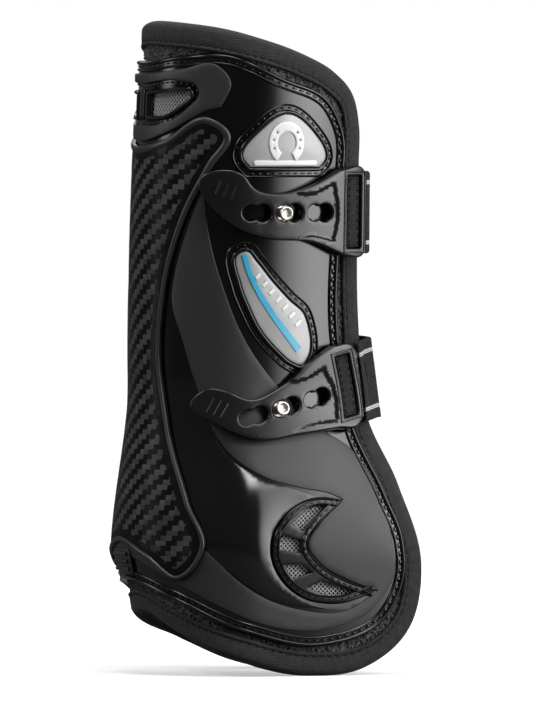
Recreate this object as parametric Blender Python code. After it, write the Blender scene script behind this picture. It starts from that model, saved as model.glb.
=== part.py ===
"""An open-front tendon boot for a horse's front leg, in Blender 4.5, at real size in metres.

A moulded shell wraps the back of the leg and stays open at the front (+X). Its outer side faces -Y. Two
moulded closures hook over studs on the outer side, and elastics tie them to the inner side.

The boot is a thick skin bent round the leg, so its pieces are drawn flat and then wrapped:
    girth   distance round the leg from the centre line of the back, positive on the outer side
    height  distance above the boot's lowest point
    depth   distance out from the shell's outer face, negative towards the leg
Every length in this script is in millimetres until make_object turns it into metres.
"""

import math
from functools import lru_cache

import bmesh
import bpy
import numpy as np
from mathutils import Matrix, Vector
from mathutils.geometry import delaunay_2d_cdt

MILLIMETRE = 0.001

# Cross-sections of the shell's outer face: centre of the back curve along X, its depth towards the back,
# half its width, then the front edge along X and half the gap between the two front edges.
CANNON_SECTION = np.array([-13.5, 36.0, 37.3, 35.7, 27.0])
FETLOCK_SECTION = np.array([-14.8, 41.3, 48.7, 57.3, 41.5])
KNEE_SECTION = np.array([-10.5, 35.5, 40.5, 35.7, 28.0])
FETLOCK_HEIGHTS = (120.0, 45.0)  # the section starts to widen at the first and is widest at the second
KNEE_HEIGHTS = (150.0, 262.0)

# Below the fetlock the back of the boot tucks in towards the pastern, and the inner side is cut a little
# shorter than the outer side, at its bottom and at its top.
PASTERN_TUCK = 10.0
TUCK_HEIGHTS = (52.0, 14.0)
TUCK_GIRTH = 62.0
INNER_BOTTOM_RISE = 9.0
INNER_TOP_DROP = 3.0
INNER_BOTTOM_HEIGHTS = (62.0, 4.0)
INNER_TOP_HEIGHTS = (215.0, 258.0)
INNER_CUT_GIRTHS = (0.0, 38.0, 62.0, 112.0)

# Depths of the layers, from the outside in, with a small gap between neighbours.
GAP = 0.45
SHELL = (0.0, -2.4)
GEL = (-3.4, -4.6)
LINING_OUTER_AT_EDGE = -2.8
LINING_OUTER_IN_POCKET = -5.4
LINING_INNER = -8.0
LINING_POCKET_MARGINS = (5.5, 8.5)
PANEL_THICKNESS = 1.2
BADGE_THICKNESS = 1.0
MESH = (-1.3, -2.1)
GRILLE = (0.7, -0.9)
VENT_MESH_GAP = 0.5  # between a vent's mesh or grille and the edge of its opening

BINDING_COVER = 4.8
BINDING_THICKNESS = 1.3
BINDING_LIP_GAP = 0.8
BINDING_EDGE_GAP = 0.45

# Studs and keyholes.
STUD_GIRTH = 68.0
UPPER_STUD_HEIGHT = 184.8
LOWER_STUD_HEIGHT = 106.0
STUD_HEAD_DIAMETER = 5.4
STUD_POST_DIAMETER = 3.8
STUD_HEAD_DEPTHS = (5.3, 6.9)
STUD_HEAD_CHAMFER = 0.7
STUD_HEX_ACROSS_FLATS = 2.5
STUD_HEX_DEPTH = 1.1
STUD_FOOT_DEPTH = -2.9
STUD_COLLAR_DIAMETER = 7.2
STUD_COLLAR_TOP = 0.85
STUD_SHELL_HOLE = 8.0
TEE_NUT_FLANGE = 12.0
TEE_NUT_FLANGE_DEPTHS = (-2.85, -4.3)
TEE_NUT_BARREL_TOP = -0.3
TEE_NUT_BARREL_GAP = 0.4
TEE_NUT_BORE_GAP = 0.35
GEL_HOLE_DIAMETER = TEE_NUT_FLANGE + 2.6
SEAT_DIAMETER = 6.5
ENTRY_DIAMETER = 7.2
SEAT_TO_ENTRY = 4.6
KEYHOLE_PITCH = 13.3
CLOSURE_THICKNESS = 3.0
CLOSURE_INNER_AT_STUD = 1.6
CLOSURE_INNER_AT_FRONT = 2.4
CLOSURE_INNER_AT_TAIL = 2.5
CLOSURE_TAIL_RISE_GIRTH = 60.0
CLOSURE_TAIL_RISE_LENGTH = 14.0
CLOSURE_FRONT_GIRTH = 105.5
LOWER_STRAP_TILT = math.radians(15.5)
UPPER_WINDOW = ((96.0, 170.5), (102.6, 199.5))
UPPER_WINDOW_CORNER_RADIUS = 1.2
LOWER_WINDOW = [(90.5, 126.8), (97.0, 128.3), (102.8, 103.0), (96.3, 101.5)]
HINGE_BACK_FROM_FRONT = 1.0
HINGE_OFF_CLOSURE = 0.5

# Elastics and their anchors on the inner side. An elastic starts, and leaves the shell, at one girth at its
# bottom edge and at another at its top edge.
ELASTIC_WIDTH = 33.0
ELASTIC_DEPTHS = (2.9, 1.5)
ELASTIC_START_GIRTHS = {"upper": (106.3, 106.3), "lower": (108.2, 102.6)}
ELASTIC_LEAVES_SHELL = {"upper": (109.0, 109.0), "lower": (116.0, 110.4)}
ELASTIC_END_GIRTH = 81.0
ELASTIC_HALF_CROSSING = 29.0
ELASTIC_BULGE = 1.5
ELASTIC_BULGE_POWER = 2.2
ELASTIC_END_DEPTHS = (CLOSURE_INNER_AT_FRONT + 2.2, CLOSURE_INNER_AT_FRONT + 0.2)
ELASTIC_END_GAP = 0.4
ANCHOR_DEPTHS = (5.3, 4.0)
ANCHOR_WIDTH = 20.0
ANCHOR_HEIGHT = 36.0
ANCHOR_CORNER_RADIUS = 4.0
RIVET_GIRTH = -88.0
RIVET_SPREAD = 10.0
RIVET_SHANK_DIAMETER = 4.0
RIVET_HOLE_DIAMETER = 5.0
RIVET_HOLE_IN_ELASTIC = 6.0
RIVET_HEAD_GAP = 1.1
RIVET_HEAD_DIAMETERS = (7.2, 6.4)
RIVET_HEAD_HEIGHTS = (0.8, 1.2)
RIVET_FOOT_DIAMETER = 6.0
RIVET_FOOT_DEPTHS = (-4.3, -3.2)

# The tendon pad's flat face, across the back of the leg.
PAD_FACE_X = -35.5
PAD_HALF_GIRTH = 17.0
PAD_HEIGHTS = (112.0, 222.0)
PAD_CORNER_RADIUS = 8.0

# Girth lines and heights on which every wrapped piece has its corners, so that neighbours' facets agree.
CLOSE_GIRTH_PITCH = 9.0
WIDE_GIRTH_PITCH = 13.5
CLOSE_GIRTH_LINES = 6
WIDE_GIRTH_LINES = 7
CLOSE_HEIGHT_PITCH = 10.0
WIDE_HEIGHT_PITCH = 22.0
CLOSE_HEIGHT_TOP = 130.0
HEIGHT_LINE_CLEARANCE = 1.5  # a corner on a height line keeps this far from the region's edge
EDGE_CORNER_SPACING = 1.0

SECTION_STEPS = 90
SECTION_OVERRUN = 1.35  # how far the section runs past the front edges, as a share of their distance
SLOPE_STEP = 0.5  # between the points that give the shell's direction
MERGE_DISTANCE = 1e-5
ROUNDING = 1e-9
SHARP_ANGLE = math.radians(35)
ROUND_HOLE_CORNERS = 10

# Outlines, as (girth, height); a third item marks a sharp corner. A half outline runs from the centre line
# of the back at the top, round the front edge, to the centre line at the bottom.
LINING_HALF = [
    (0, 259.6), (20, 258.8), (42, 256.4), (60.5, 252.2), (80, 246), (94, 239.8), (103.6, 231.8), (107.6, 219),
    (107.5, 205), (107.5, 140), (112, 104), (129.2, 76.3), (142.3, 44), (136.6, 18.8), (117, 4.4), (92, 1.8),
    (55.5, 9.8), (22, 19.8), (0, 25.4),
]
SHELL_HALF = [
    (0, 245), (26, 247.3), (44, 247.8), (68, 238.5), (90, 229), (97, 218), (97, 190), (96, 134), (103, 102),
    (123, 72), (133, 54), (134.2, 42), (125.5, 23), (97, 12), (63, 18), (30, 31), (0, 38),
]
GEL_HALF = [
    (0, 232), (40, 234), (66, 226), (78.5, 212), (78.5, 150), (79, 98), (92, 78), (112, 60), (112, 40),
    (92, 30), (60, 34), (30, 44), (0, 52),
]
CARBON_HALF = [
    (0, 211), (19, 214), (38, 222.5), (46.5, 216), (40, 203), (30, 184), (20, 150), (18.5, 122),
    (25, 98), (39, 70), (48, 50), (37, 38.5), (20, 47), (0, 53),
]
TOP_PANEL_HALF = [
    (0, 240), (26, 242), (41, 243.5), (46.5, 237), (43, 227, "sharp"), (37, 225.5, "sharp"),
    (19, 216.5), (0, 213),
]
TOP_VENT = [
    (5.5, 232.3, "sharp"), (29.5, 234.2, "sharp"), (30.8, 231.8), (26, 227.2), (19.5, 223.6),
    (5.5, 222.4, "sharp"),
]
UPPER_BADGE = [
    (70, 226), (58, 219.5), (50, 206), (54, 201, "sharp"), (86, 201, "sharp"), (89.5, 205), (82, 219.5),
]
HEEL_VENT = ((-8.5, 40.5), (8.5, 50.5))
HEEL_VENT_CORNER_RADIUS = 2.0
SIDE_BADGE = [
    (50.2, 169.3), (54.4, 170.4), (58.6, 166.2), (65.2, 158.4), (73.2, 150.4), (79.6, 144.9), (81.4, 140.6),
    (81.3, 126.2), (78.2, 122.8), (73.6, 123.9), (66.1, 129.6), (58.9, 137.8), (53.9, 147.6), (50.8, 156),
]
FETLOCK_CRESCENT = [
    (102.8, 69.8, "sharp"), (92, 70.6), (82, 66.6), (76, 58), (75.2, 49.5), (79.2, 39.6), (88.2, 32),
    (102.8, 29.2), (120.8, 33.8, "sharp"), (107, 38), (95.2, 44.8), (90, 53), (93.8, 60.4),
]
# The four openings of a fetlock grille, between its three ribs, from the upper tip to the lower one.
GRILLE_OPENINGS = [
    [(97, 68.2, "sharp"), (89.5, 66.8), (82.3, 60.8, "sharp"), (87.5, 57.9, "sharp"), (91.3, 62.4)],
    [(78.7, 56.6, "sharp"), (78.2, 50.9, "sharp"), (87.3, 49.2, "sharp"), (87.1, 54.2, "sharp")],
    [(79.8, 44.6, "sharp"), (84.2, 38.8, "sharp"), (92.4, 41.4, "sharp"), (88.3, 44.6, "sharp")],
    [(90.6, 35.3, "sharp"), (98.2, 32.4), (112.5, 33.2, "sharp"), (104.5, 35.4), (96.6, 38, "sharp")],
]
UPPER_CLOSURE = [
    (37.5, 200), (44, 202), (51, 200.5), (56, 194.5), (68, 192.5), (81, 196), (93, 202, "sharp"),
    (103.5, 202.5), (105.5, 199, "sharp"), (105.5, 170, "sharp"), (103.5, 167.5), (95, 167.5, "sharp"),
    (80, 173), (62, 174.5), (48, 180),
]
LOWER_CLOSURE = [
    (34, 109.5), (40, 114.5), (46, 113.5), (55, 110), (68, 115.5), (80, 125), (90, 131.5, "sharp"),
    (98, 132), (101, 129, "sharp"), (105.5, 102, "sharp"), (103.5, 98.5), (94, 97.5, "sharp"),
    (78, 95.5), (62, 93.5), (46, 99),
]

# Looks: base colour, roughness, metallic.
GLOSS_BLACK = ("gloss_black_tpu", (0.012, 0.012, 0.013), 0.16, 0.0)
SATIN_BLACK = ("satin_black_tpu", (0.030, 0.030, 0.032), 0.45, 0.0)
CARBON = ("carbon_weave", (0.020, 0.021, 0.023), 0.30, 0.2)
SILVER = ("badge_silver", (0.52, 0.53, 0.54), 0.35, 0.7)
WIRE = ("wire_mesh", (0.42, 0.42, 0.42), 0.38, 0.9)
NICKEL = ("nickel", (0.62, 0.57, 0.48), 0.22, 1.0)
NEOPRENE = ("neoprene", (0.022, 0.022, 0.023), 0.85, 0.0)
BINDING = ("binding_tape", (0.035, 0.035, 0.036), 0.80, 0.0)
GEL_LOOK = ("gel", (0.030, 0.045, 0.060), 0.35, 0.0)
ELASTIC = ("elastic_web", (0.028, 0.028, 0.030), 0.75, 0.0)


def smoothstep(fraction):
    fraction = min(max(fraction, 0.0), 1.0)
    return fraction * fraction * (3 - 2 * fraction)


def section(height):
    """The five section sizes at a height, blended between the cannon bone, the fetlock and the knee."""
    top, bottom = FETLOCK_HEIGHTS
    fetlock = smoothstep((top - height) / (top - bottom))
    low, high = KNEE_HEIGHTS
    knee = smoothstep((height - low) / (high - low))
    return (
        CANNON_SECTION
        + (FETLOCK_SECTION - CANNON_SECTION) * fetlock
        + (KNEE_SECTION - CANNON_SECTION) * knee
    )


@lru_cache(maxsize=None)
def half_girth(height):
    """Lengths along half of the section and its X and Y: a quarter ellipse, then a parabola to the front."""
    centre, depth, width, front_x, front_gap = section(height)
    turn = np.linspace(0, math.pi / 2, SECTION_STEPS)
    run = np.linspace(0, SECTION_OVERRUN, SECTION_STEPS)[1:]
    x = np.concatenate([centre - depth * np.cos(turn), centre + (front_x - centre) * run])
    y = np.concatenate([width * np.sin(turn), width - (width - front_gap) * run**2])
    lengths = np.concatenate([[0], np.cumsum(np.hypot(np.diff(x), np.diff(y)))])
    return lengths, x, y


def inner_side_shift(girth, height):
    """How much higher a point sits than its mirror image on the outer side."""
    first, full, fading, last = INNER_CUT_GIRTHS
    share = smoothstep((-girth - first) / (full - first)) * smoothstep((last + girth) / (last - fading))
    top, bottom = INNER_BOTTOM_HEIGHTS
    rise = INNER_BOTTOM_RISE * smoothstep((top - height) / (top - bottom))
    low, high = INNER_TOP_HEIGHTS
    drop = INNER_TOP_DROP * smoothstep((height - low) / (high - low))
    return share * (rise - drop)


def outer_face(girth, height):
    """The place of a point of the shell's outer face."""
    lengths, x, y = half_girth(round(height, 4))
    side = -1.0 if girth > 0 else 1.0
    along = abs(girth)
    top, bottom = TUCK_HEIGHTS
    tuck = PASTERN_TUCK * smoothstep((top - height) / (top - bottom)) * (1 - smoothstep(along / TUCK_GIRTH))
    place_x = np.interp(along, lengths, x) + tuck
    place_y = side * np.interp(along, lengths, y)
    return Vector((place_x, place_y, height + inner_side_shift(girth, height)))


def outward(girth, height):
    """The direction square to the shell's outer face at a point."""
    along = outer_face(girth + SLOPE_STEP, height) - outer_face(girth - SLOPE_STEP, height)
    up = outer_face(girth, height + SLOPE_STEP) - outer_face(girth, height - SLOPE_STEP)
    return along.cross(up).normalized()


def on_boot(girth, height, depth):
    """The wrapped place of a flat point."""
    return tuple(outer_face(girth, height) + outward(girth, height) * depth)


def girth_lines():
    """Every girth at which wrapped pieces have a line of corners, on both sides of the back."""
    close = [i * CLOSE_GIRTH_PITCH for i in range(CLOSE_GIRTH_LINES + 1)]
    wide = [close[-1] + i * WIDE_GIRTH_PITCH for i in range(1, WIDE_GIRTH_LINES + 1)]
    positive = close[1:] + wide
    return [-girth for girth in reversed(positive)] + [0.0] + positive


def height_lines():
    close = list(np.arange(0, CLOSE_HEIGHT_TOP + 1, CLOSE_HEIGHT_PITCH))
    wide = list(np.arange(CLOSE_HEIGHT_TOP + WIDE_HEIGHT_PITCH, KNEE_HEIGHTS[1], WIDE_HEIGHT_PITCH))
    return close + wide


def smooth_loop(points, steps=2):
    """A closed curve through the points, as straight pieces, that breaks its direction at sharp corners."""
    knots = [Vector(point[:2]) for point in points]
    sharp = [len(point) > 2 for point in points]
    count = len(knots)

    def heading(i, leaving):
        before = knots[i] - knots[i - 1]
        after = knots[(i + 1) % count] - knots[i]
        if sharp[i]:
            return (after if leaving else before).normalized()
        return (before.normalized() * after.length + after.normalized() * before.length).normalized()

    loop = []
    for i in range(count):
        end = (i + 1) % count
        chord = (knots[end] - knots[i]).length
        start_pull = heading(i, True) * chord
        end_pull = heading(end, False) * chord
        for step in range(steps):
            t = step / steps
            loop.append(
                knots[i] * (2 * t**3 - 3 * t**2 + 1)
                + start_pull * (t**3 - 2 * t**2 + t)
                + knots[end] * (3 * t**2 - 2 * t**3)
                + end_pull * (t**3 - t**2)
            )
    return [(point.x, point.y) for point in loop]


def both_sides(half):
    """A half outline joined to its mirror image across the centre line of the back."""
    mirrored = [(-point[0], *point[1:]) for point in reversed(half[1:-1])]
    return half + mirrored


def mirrored(loop):
    return [(-girth, height) for girth, height in loop]


def circle(girth, height, diameter, corners=14):
    turns = [2 * math.pi * i / corners for i in range(corners)]
    return [(girth + diameter / 2 * math.cos(a), height + diameter / 2 * math.sin(a)) for a in turns]


def rounded_rectangle(low, high, radius, corner_steps=3):
    """Corner points of a rectangle from low to high, as (girth, height), with rounded corners."""
    centres = [
        (high[0] - radius, high[1] - radius, 0),
        (low[0] + radius, high[1] - radius, 90),
        (low[0] + radius, low[1] + radius, 180),
        (high[0] - radius, low[1] + radius, 270),
    ]
    loop = []
    for girth, height, start in centres:
        for step in range(corner_steps + 1):
            turn = math.radians(start + 90 * step / corner_steps)
            loop.append((girth + radius * math.cos(turn), height + radius * math.sin(turn)))
    return loop


def grown(loop, distance):
    """The loop with every side moved outwards by a distance, or inwards by a negative one."""
    count = len(loop)
    area = sum(loop[i - 1][0] * loop[i][1] - loop[i][0] * loop[i - 1][1] for i in range(count))
    turn = distance if area > 0 else -distance
    moved = []
    for i in range(count):
        before = (Vector(loop[i]) - Vector(loop[i - 1])).normalized()
        after = (Vector(loop[(i + 1) % count]) - Vector(loop[i])).normalized()
        shift = (before + after) / (1 + before.dot(after)) * turn
        moved.append((loop[i][0] + shift.y, loop[i][1] - shift.x))
    return moved


def keyhole(girth, height, tilt, corners=9):
    """Two overlapping round holes: a seat at the given point, and a wider entry a little further forward."""
    seat = SEAT_DIAMETER / 2
    entry = ENTRY_DIAMETER / 2
    waist = (SEAT_TO_ENTRY**2 + seat**2 - entry**2) / (2 * SEAT_TO_ENTRY)
    seat_turn = math.acos(waist / seat)
    entry_turn = math.acos((SEAT_TO_ENTRY - waist) / entry)
    points = []
    for step in range(corners):
        turn = seat_turn + (2 * math.pi - 2 * seat_turn) * step / (corners - 1)
        points.append((seat * math.cos(turn), seat * math.sin(turn)))
    for step in range(1, corners - 1):
        turn = math.pi + entry_turn + (2 * math.pi - 2 * entry_turn) * step / (corners - 1)
        points.append((SEAT_TO_ENTRY + entry * math.cos(turn), entry * math.sin(turn)))
    cosine, sine = math.cos(tilt), math.sin(tilt)
    return [(girth + a * cosine - b * sine, height + a * sine + b * cosine) for a, b in points]


def split_at_lines(loop):
    """The loop with a corner added on each girth line, and on each height line clear of other corners."""
    result = []
    for i, start in enumerate(loop):
        end = loop[(i + 1) % len(loop)]
        length = math.hypot(end[0] - start[0], end[1] - start[1])
        fractions = [0.0, 1.0]
        for axis, lines, spacing in (
            (0, girth_lines(), MERGE_DISTANCE),
            (1, height_lines(), EDGE_CORNER_SPACING),
        ):
            low, high = sorted((start[axis], end[axis]))
            for line in lines:
                if low < line < high:
                    fraction = (line - start[axis]) / (end[axis] - start[axis])
                    if min(abs(fraction - other) for other in fractions) * length > spacing:
                        fractions.append(fraction)
        for fraction in sorted(fractions)[:-1]:
            girth = start[0] + (end[0] - start[0]) * fraction
            result.append((girth, start[1] + (end[1] - start[1]) * fraction))
    return result


def crossings(loops, line):
    """Heights at which the loops cross a girth line, lowest first."""
    found = []
    for loop in loops:
        for i, start in enumerate(loop):
            end = loop[(i + 1) % len(loop)]
            if (start[0] <= line + ROUNDING) != (end[0] <= line + ROUNDING):
                fraction = (line - start[0]) / (end[0] - start[0])
                found.append(start[1] + (end[1] - start[1]) * fraction)
    return sorted(found)


def is_inside(loops, girth, height):
    above = [level for level in crossings(loops, girth) if level > height]
    return len(above) % 2 == 1


def triangulate(loops):
    """Corners and triangles of the flat region inside the first loop and outside the others, its holes."""
    points = []
    edges = []
    for loop in loops:
        first = len(points)
        points += loop
        edges += [(first + i, first + (i + 1) % len(loop)) for i in range(len(loop))]
    for line in girth_lines():
        ends = crossings(loops, line)
        for low, high in zip(ends[::2], ends[1::2]):
            if high - low < MERGE_DISTANCE:
                continue
            lowest = low + HEIGHT_LINE_CLEARANCE
            highest = high - HEIGHT_LINE_CLEARANCE
            column = [low, *(level for level in height_lines() if lowest < level < highest), high]
            first = len(points)
            points += [(line, level) for level in column]
            edges += [(first + i, first + i + 1) for i in range(len(column) - 1)]
    flat = [Vector(point) for point in points]
    corners, _, faces, *_ = delaunay_2d_cdt(flat, edges, [], 0, MERGE_DISTANCE)
    kept = []
    for face in faces:
        centre = sum((corners[i] for i in face), Vector((0, 0))) / len(face)
        if is_inside(loops, centre.x, centre.y):
            a, b, c = (corners[i] for i in face)
            turn = (b - a).cross(c - a)
            kept.append(tuple(face) if turn > 0 else tuple(reversed(face)))
    return [tuple(corner) for corner in corners], kept


def value_at(depth, girth, height):
    return depth(girth, height) if callable(depth) else depth


def sheet_mesh(loops, depths, place):
    """A closed sheet over the flat region, between an outer and an inner depth, moved to its place."""
    loops = [split_at_lines(loop) for loop in loops]
    corners, faces = triangulate(loops)
    used = sorted({i for face in faces for i in face})
    renumber = {old: new for new, old in enumerate(used)}
    outer = [place(*corners[i], value_at(depths[0], *corners[i])) for i in used]
    inner = [place(*corners[i], value_at(depths[1], *corners[i])) for i in used]
    faces = [tuple(renumber[i] for i in face) for face in faces]
    count = len(used)
    directed = {(face[i - 1], face[i]) for face in faces for i in range(3)}
    rim = [(a, b) for a, b in directed if (b, a) not in directed]
    solid_faces = list(faces)
    solid_faces += [tuple(count + i for i in reversed(face)) for face in faces]
    solid_faces += [(a, count + a, count + b, b) for a, b in sorted(rim)]
    return outer + inner, solid_faces


def material(look):
    name, colour, roughness, metallic = look
    if name in bpy.data.materials:
        return bpy.data.materials[name]
    made = bpy.data.materials.new(name)
    made.use_nodes = True
    shader = made.node_tree.nodes["Principled BSDF"]
    shader.inputs["Base Color"].default_value = (*colour, 1)
    shader.inputs["Roughness"].default_value = roughness
    shader.inputs["Metallic"].default_value = metallic
    return made


def make_object(name, corners, faces, look, pivot=None):
    """An object from corners in millimetres, with its origin at the pivot, which is an empty on a joint."""
    mesh = bpy.data.meshes.new(name)
    origin = pivot.location if pivot else Vector((0, 0, 0))
    local = [Vector(corner) * MILLIMETRE - origin for corner in corners]
    mesh.from_pydata(local, [], faces)
    shape = bmesh.new()
    shape.from_mesh(mesh)
    bmesh.ops.recalc_face_normals(shape, faces=shape.faces)
    shape.to_mesh(mesh)
    shape.free()
    mesh.materials.append(material(look))
    mesh.shade_smooth()
    mesh.set_sharp_from_angle(angle=SHARP_ANGLE)
    made = bpy.data.objects.new(name, mesh)
    made.parent = pivot
    bpy.context.scene.collection.objects.link(made)
    return made


def make_sheet(name, loops, depths, look, pivot=None, place=on_boot):
    corners, faces = sheet_mesh(loops, depths, place)
    return make_object(name, corners, faces, look, pivot)


def make_pivot(name, place):
    """An empty at a joint, in millimetres, for the pieces that move about it."""
    pivot = bpy.data.objects.new(name, None)
    pivot.location = Vector(place) * MILLIMETRE
    pivot.empty_display_size = 0.01
    bpy.context.scene.collection.objects.link(pivot)
    return pivot


def turned_mesh(profile, segments):
    """A solid turned about its own Z axis from (radius, height) points; radius 0 closes an end."""
    corners = []
    rings = []
    for radius, height in profile:
        first = len(corners)
        if radius == 0:
            corners.append((0, 0, height))
            rings.append([first] * segments)
            continue
        for i in range(segments):
            turn = 2 * math.pi * i / segments
            corners.append((radius * math.cos(turn), radius * math.sin(turn), height))
        rings.append([first + i for i in range(segments)])
    faces = []
    for below, above in zip(rings, rings[1:]):
        for i in range(segments):
            j = (i + 1) % segments
            face = [below[i], below[j], above[j], above[i]]
            face = [corner for k, corner in enumerate(face) if corner != face[k - 1]]
            if len(face) > 2:
                faces.append(tuple(face))
    return corners, faces


def outward_frame(girth, height):
    """A matrix whose Z axis points out of the shell at a point of its outer face."""
    z_axis = outward(girth, height)
    x_axis = Vector((0, 0, 1)).cross(z_axis).normalized()
    turn = Matrix((x_axis, z_axis.cross(x_axis), z_axis)).transposed()
    return Matrix.Translation(outer_face(girth, height) * MILLIMETRE) @ turn.to_4x4()


def make_turned(name, profile, look, girth, height, segments=20):
    corners, faces = turned_mesh(profile, segments)
    made = make_object(name, corners, faces, look)
    made.matrix_world = outward_frame(girth, height)
    return made


def edge_distance(loop):
    """A function that gives a flat point's distance from a loop."""
    starts = np.array(loop)
    ends = np.roll(starts, -1, axis=0)
    along = ends - starts
    squared = (along**2).sum(axis=1)

    def distance(girth, height):
        offset = np.array([girth, height]) - starts
        fraction = np.clip((offset * along).sum(axis=1) / squared, 0, 1)
        return float(np.linalg.norm(offset - along * fraction[:, None], axis=1).min())

    return distance


def lining_outline():
    return smooth_loop(both_sides(LINING_HALF))


def stud_places():
    return ((STUD_GIRTH, UPPER_STUD_HEIGHT), (STUD_GIRTH, LOWER_STUD_HEIGHT))


def rivet_places(strap):
    """The two rivets of one elastic's anchor, on the inner side."""
    middle = strap_height(strap, RIVET_GIRTH)
    return ((RIVET_GIRTH, middle + RIVET_SPREAD), (RIVET_GIRTH, middle - RIVET_SPREAD))


def strap_tilt(strap):
    return LOWER_STRAP_TILT if strap == "lower" else 0.0


def strap_height(strap, girth):
    """Height of a strap's centre line, which on the lower strap drops towards the back on both sides."""
    stud = LOWER_STUD_HEIGHT if strap == "lower" else UPPER_STUD_HEIGHT
    return stud + (abs(girth) - STUD_GIRTH) * math.tan(strap_tilt(strap))


def make_shell():
    outline = smooth_loop(both_sides(SHELL_HALF))
    top_vent = smooth_loop(TOP_VENT)
    crescent = smooth_loop(FETLOCK_CRESCENT)
    holes = [top_vent, mirrored(top_vent), crescent, mirrored(crescent)]
    holes += [circle(girth, height, STUD_SHELL_HOLE) for girth, height in stud_places()]
    for strap in ("upper", "lower"):
        holes += [circle(*place, RIVET_HOLE_DIAMETER, ROUND_HOLE_CORNERS) for place in rivet_places(strap)]
    make_sheet("outer_shell", [outline, *holes], SHELL, GLOSS_BLACK)


def make_back_panels():
    raised = (GAP + PANEL_THICKNESS, GAP)
    make_sheet("carbon_back_panel", [smooth_loop(both_sides(CARBON_HALF))], raised, CARBON)
    vent = smooth_loop(TOP_VENT)
    outline = smooth_loop(both_sides(TOP_PANEL_HALF))
    make_sheet("top_vent_panel", [outline, vent, mirrored(vent)], raised, SATIN_BLACK)
    heel = rounded_rectangle(*HEEL_VENT, HEEL_VENT_CORNER_RADIUS)
    make_sheet("heel_vent", [heel], raised, SATIN_BLACK)


def make_vents():
    """Wire mesh behind the openings, and a ribbed grille in each fetlock opening."""
    top = grown(smooth_loop(TOP_VENT), -VENT_MESH_GAP)
    crescent = grown(smooth_loop(FETLOCK_CRESCENT), -VENT_MESH_GAP)
    openings = [smooth_loop(opening) for opening in GRILLE_OPENINGS]
    for side, turned in (("outer", list), ("inner", mirrored)):
        make_sheet(f"top_vent_mesh_{side}", [turned(top)], MESH, WIRE)
        make_sheet(f"fetlock_vent_mesh_{side}", [turned(crescent)], MESH, WIRE)
        loops = [turned(crescent)] + [turned(opening) for opening in openings]
        make_sheet(f"fetlock_vent_grille_{side}", loops, GRILLE, SATIN_BLACK)


def make_badges():
    raised = (GAP + BADGE_THICKNESS, GAP)
    make_sheet("upper_badge", [smooth_loop(UPPER_BADGE)], raised, SILVER)
    make_sheet("side_badge", [smooth_loop(SIDE_BADGE)], raised, SILVER)


def make_lining():
    outline = lining_outline()
    distance = edge_distance(outline)
    near, far = LINING_POCKET_MARGINS

    def outer(girth, height):
        inside = smoothstep((distance(girth, height) - near) / (far - near))
        return LINING_OUTER_AT_EDGE + (LINING_OUTER_IN_POCKET - LINING_OUTER_AT_EDGE) * inside

    make_sheet("neoprene_lining", [outline], (outer, LINING_INNER), NEOPRENE)


def make_gel():
    holes = [circle(girth, height, GEL_HOLE_DIAMETER) for girth, height in stud_places()]
    make_sheet("gel_insert", [smooth_loop(both_sides(GEL_HALF)), *holes], GEL, GEL_LOOK)


def make_binding():
    """A channel folded over the lining's edge all the way round."""
    outline = split_at_lines(lining_outline())
    outer_lip = LINING_OUTER_AT_EDGE + BINDING_LIP_GAP
    inner_lip = LINING_INNER - BINDING_LIP_GAP
    outer_skin = outer_lip + BINDING_THICKNESS
    inner_skin = inner_lip - BINDING_THICKNESS
    fold = BINDING_EDGE_GAP + BINDING_THICKNESS
    profile = [
        (-BINDING_COVER, outer_lip),
        (-BINDING_COVER, outer_skin),
        (fold, outer_skin - BINDING_THICKNESS),
        (fold, inner_skin + BINDING_THICKNESS),
        (-BINDING_COVER, inner_skin),
        (-BINDING_COVER, inner_lip),
        (BINDING_EDGE_GAP, inner_lip),
        (BINDING_EDGE_GAP, outer_lip),
    ]
    rings = []
    corners = []
    for out, depth in profile:
        first = len(corners)
        corners += [on_boot(*point, depth) for point in grown(outline, out)]
        rings.append(range(first, first + len(outline)))
    faces = []
    for k, ring in enumerate(rings):
        following = rings[(k + 1) % len(rings)]
        for i in range(len(outline)):
            j = (i + 1) % len(outline)
            faces.append((ring[i], ring[j], following[j], following[i]))
    make_object("edge_binding", corners, faces, BINDING)


def make_tendon_pad():
    """A gel pad on the lining's inner face, flat where the tendons press on it."""
    low, high = PAD_HEIGHTS
    outline = rounded_rectangle((-PAD_HALF_GIRTH, low), (PAD_HALF_GIRTH, high), PAD_CORNER_RADIUS)
    outer = LINING_INNER - GAP

    def place(girth, height, depth):
        x, y, z = on_boot(girth, height, outer)
        return (PAD_FACE_X if depth < outer else x, y, z)

    make_sheet("tendon_pad", [outline], (outer, outer - 1), GEL_LOOK, place=place)


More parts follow.
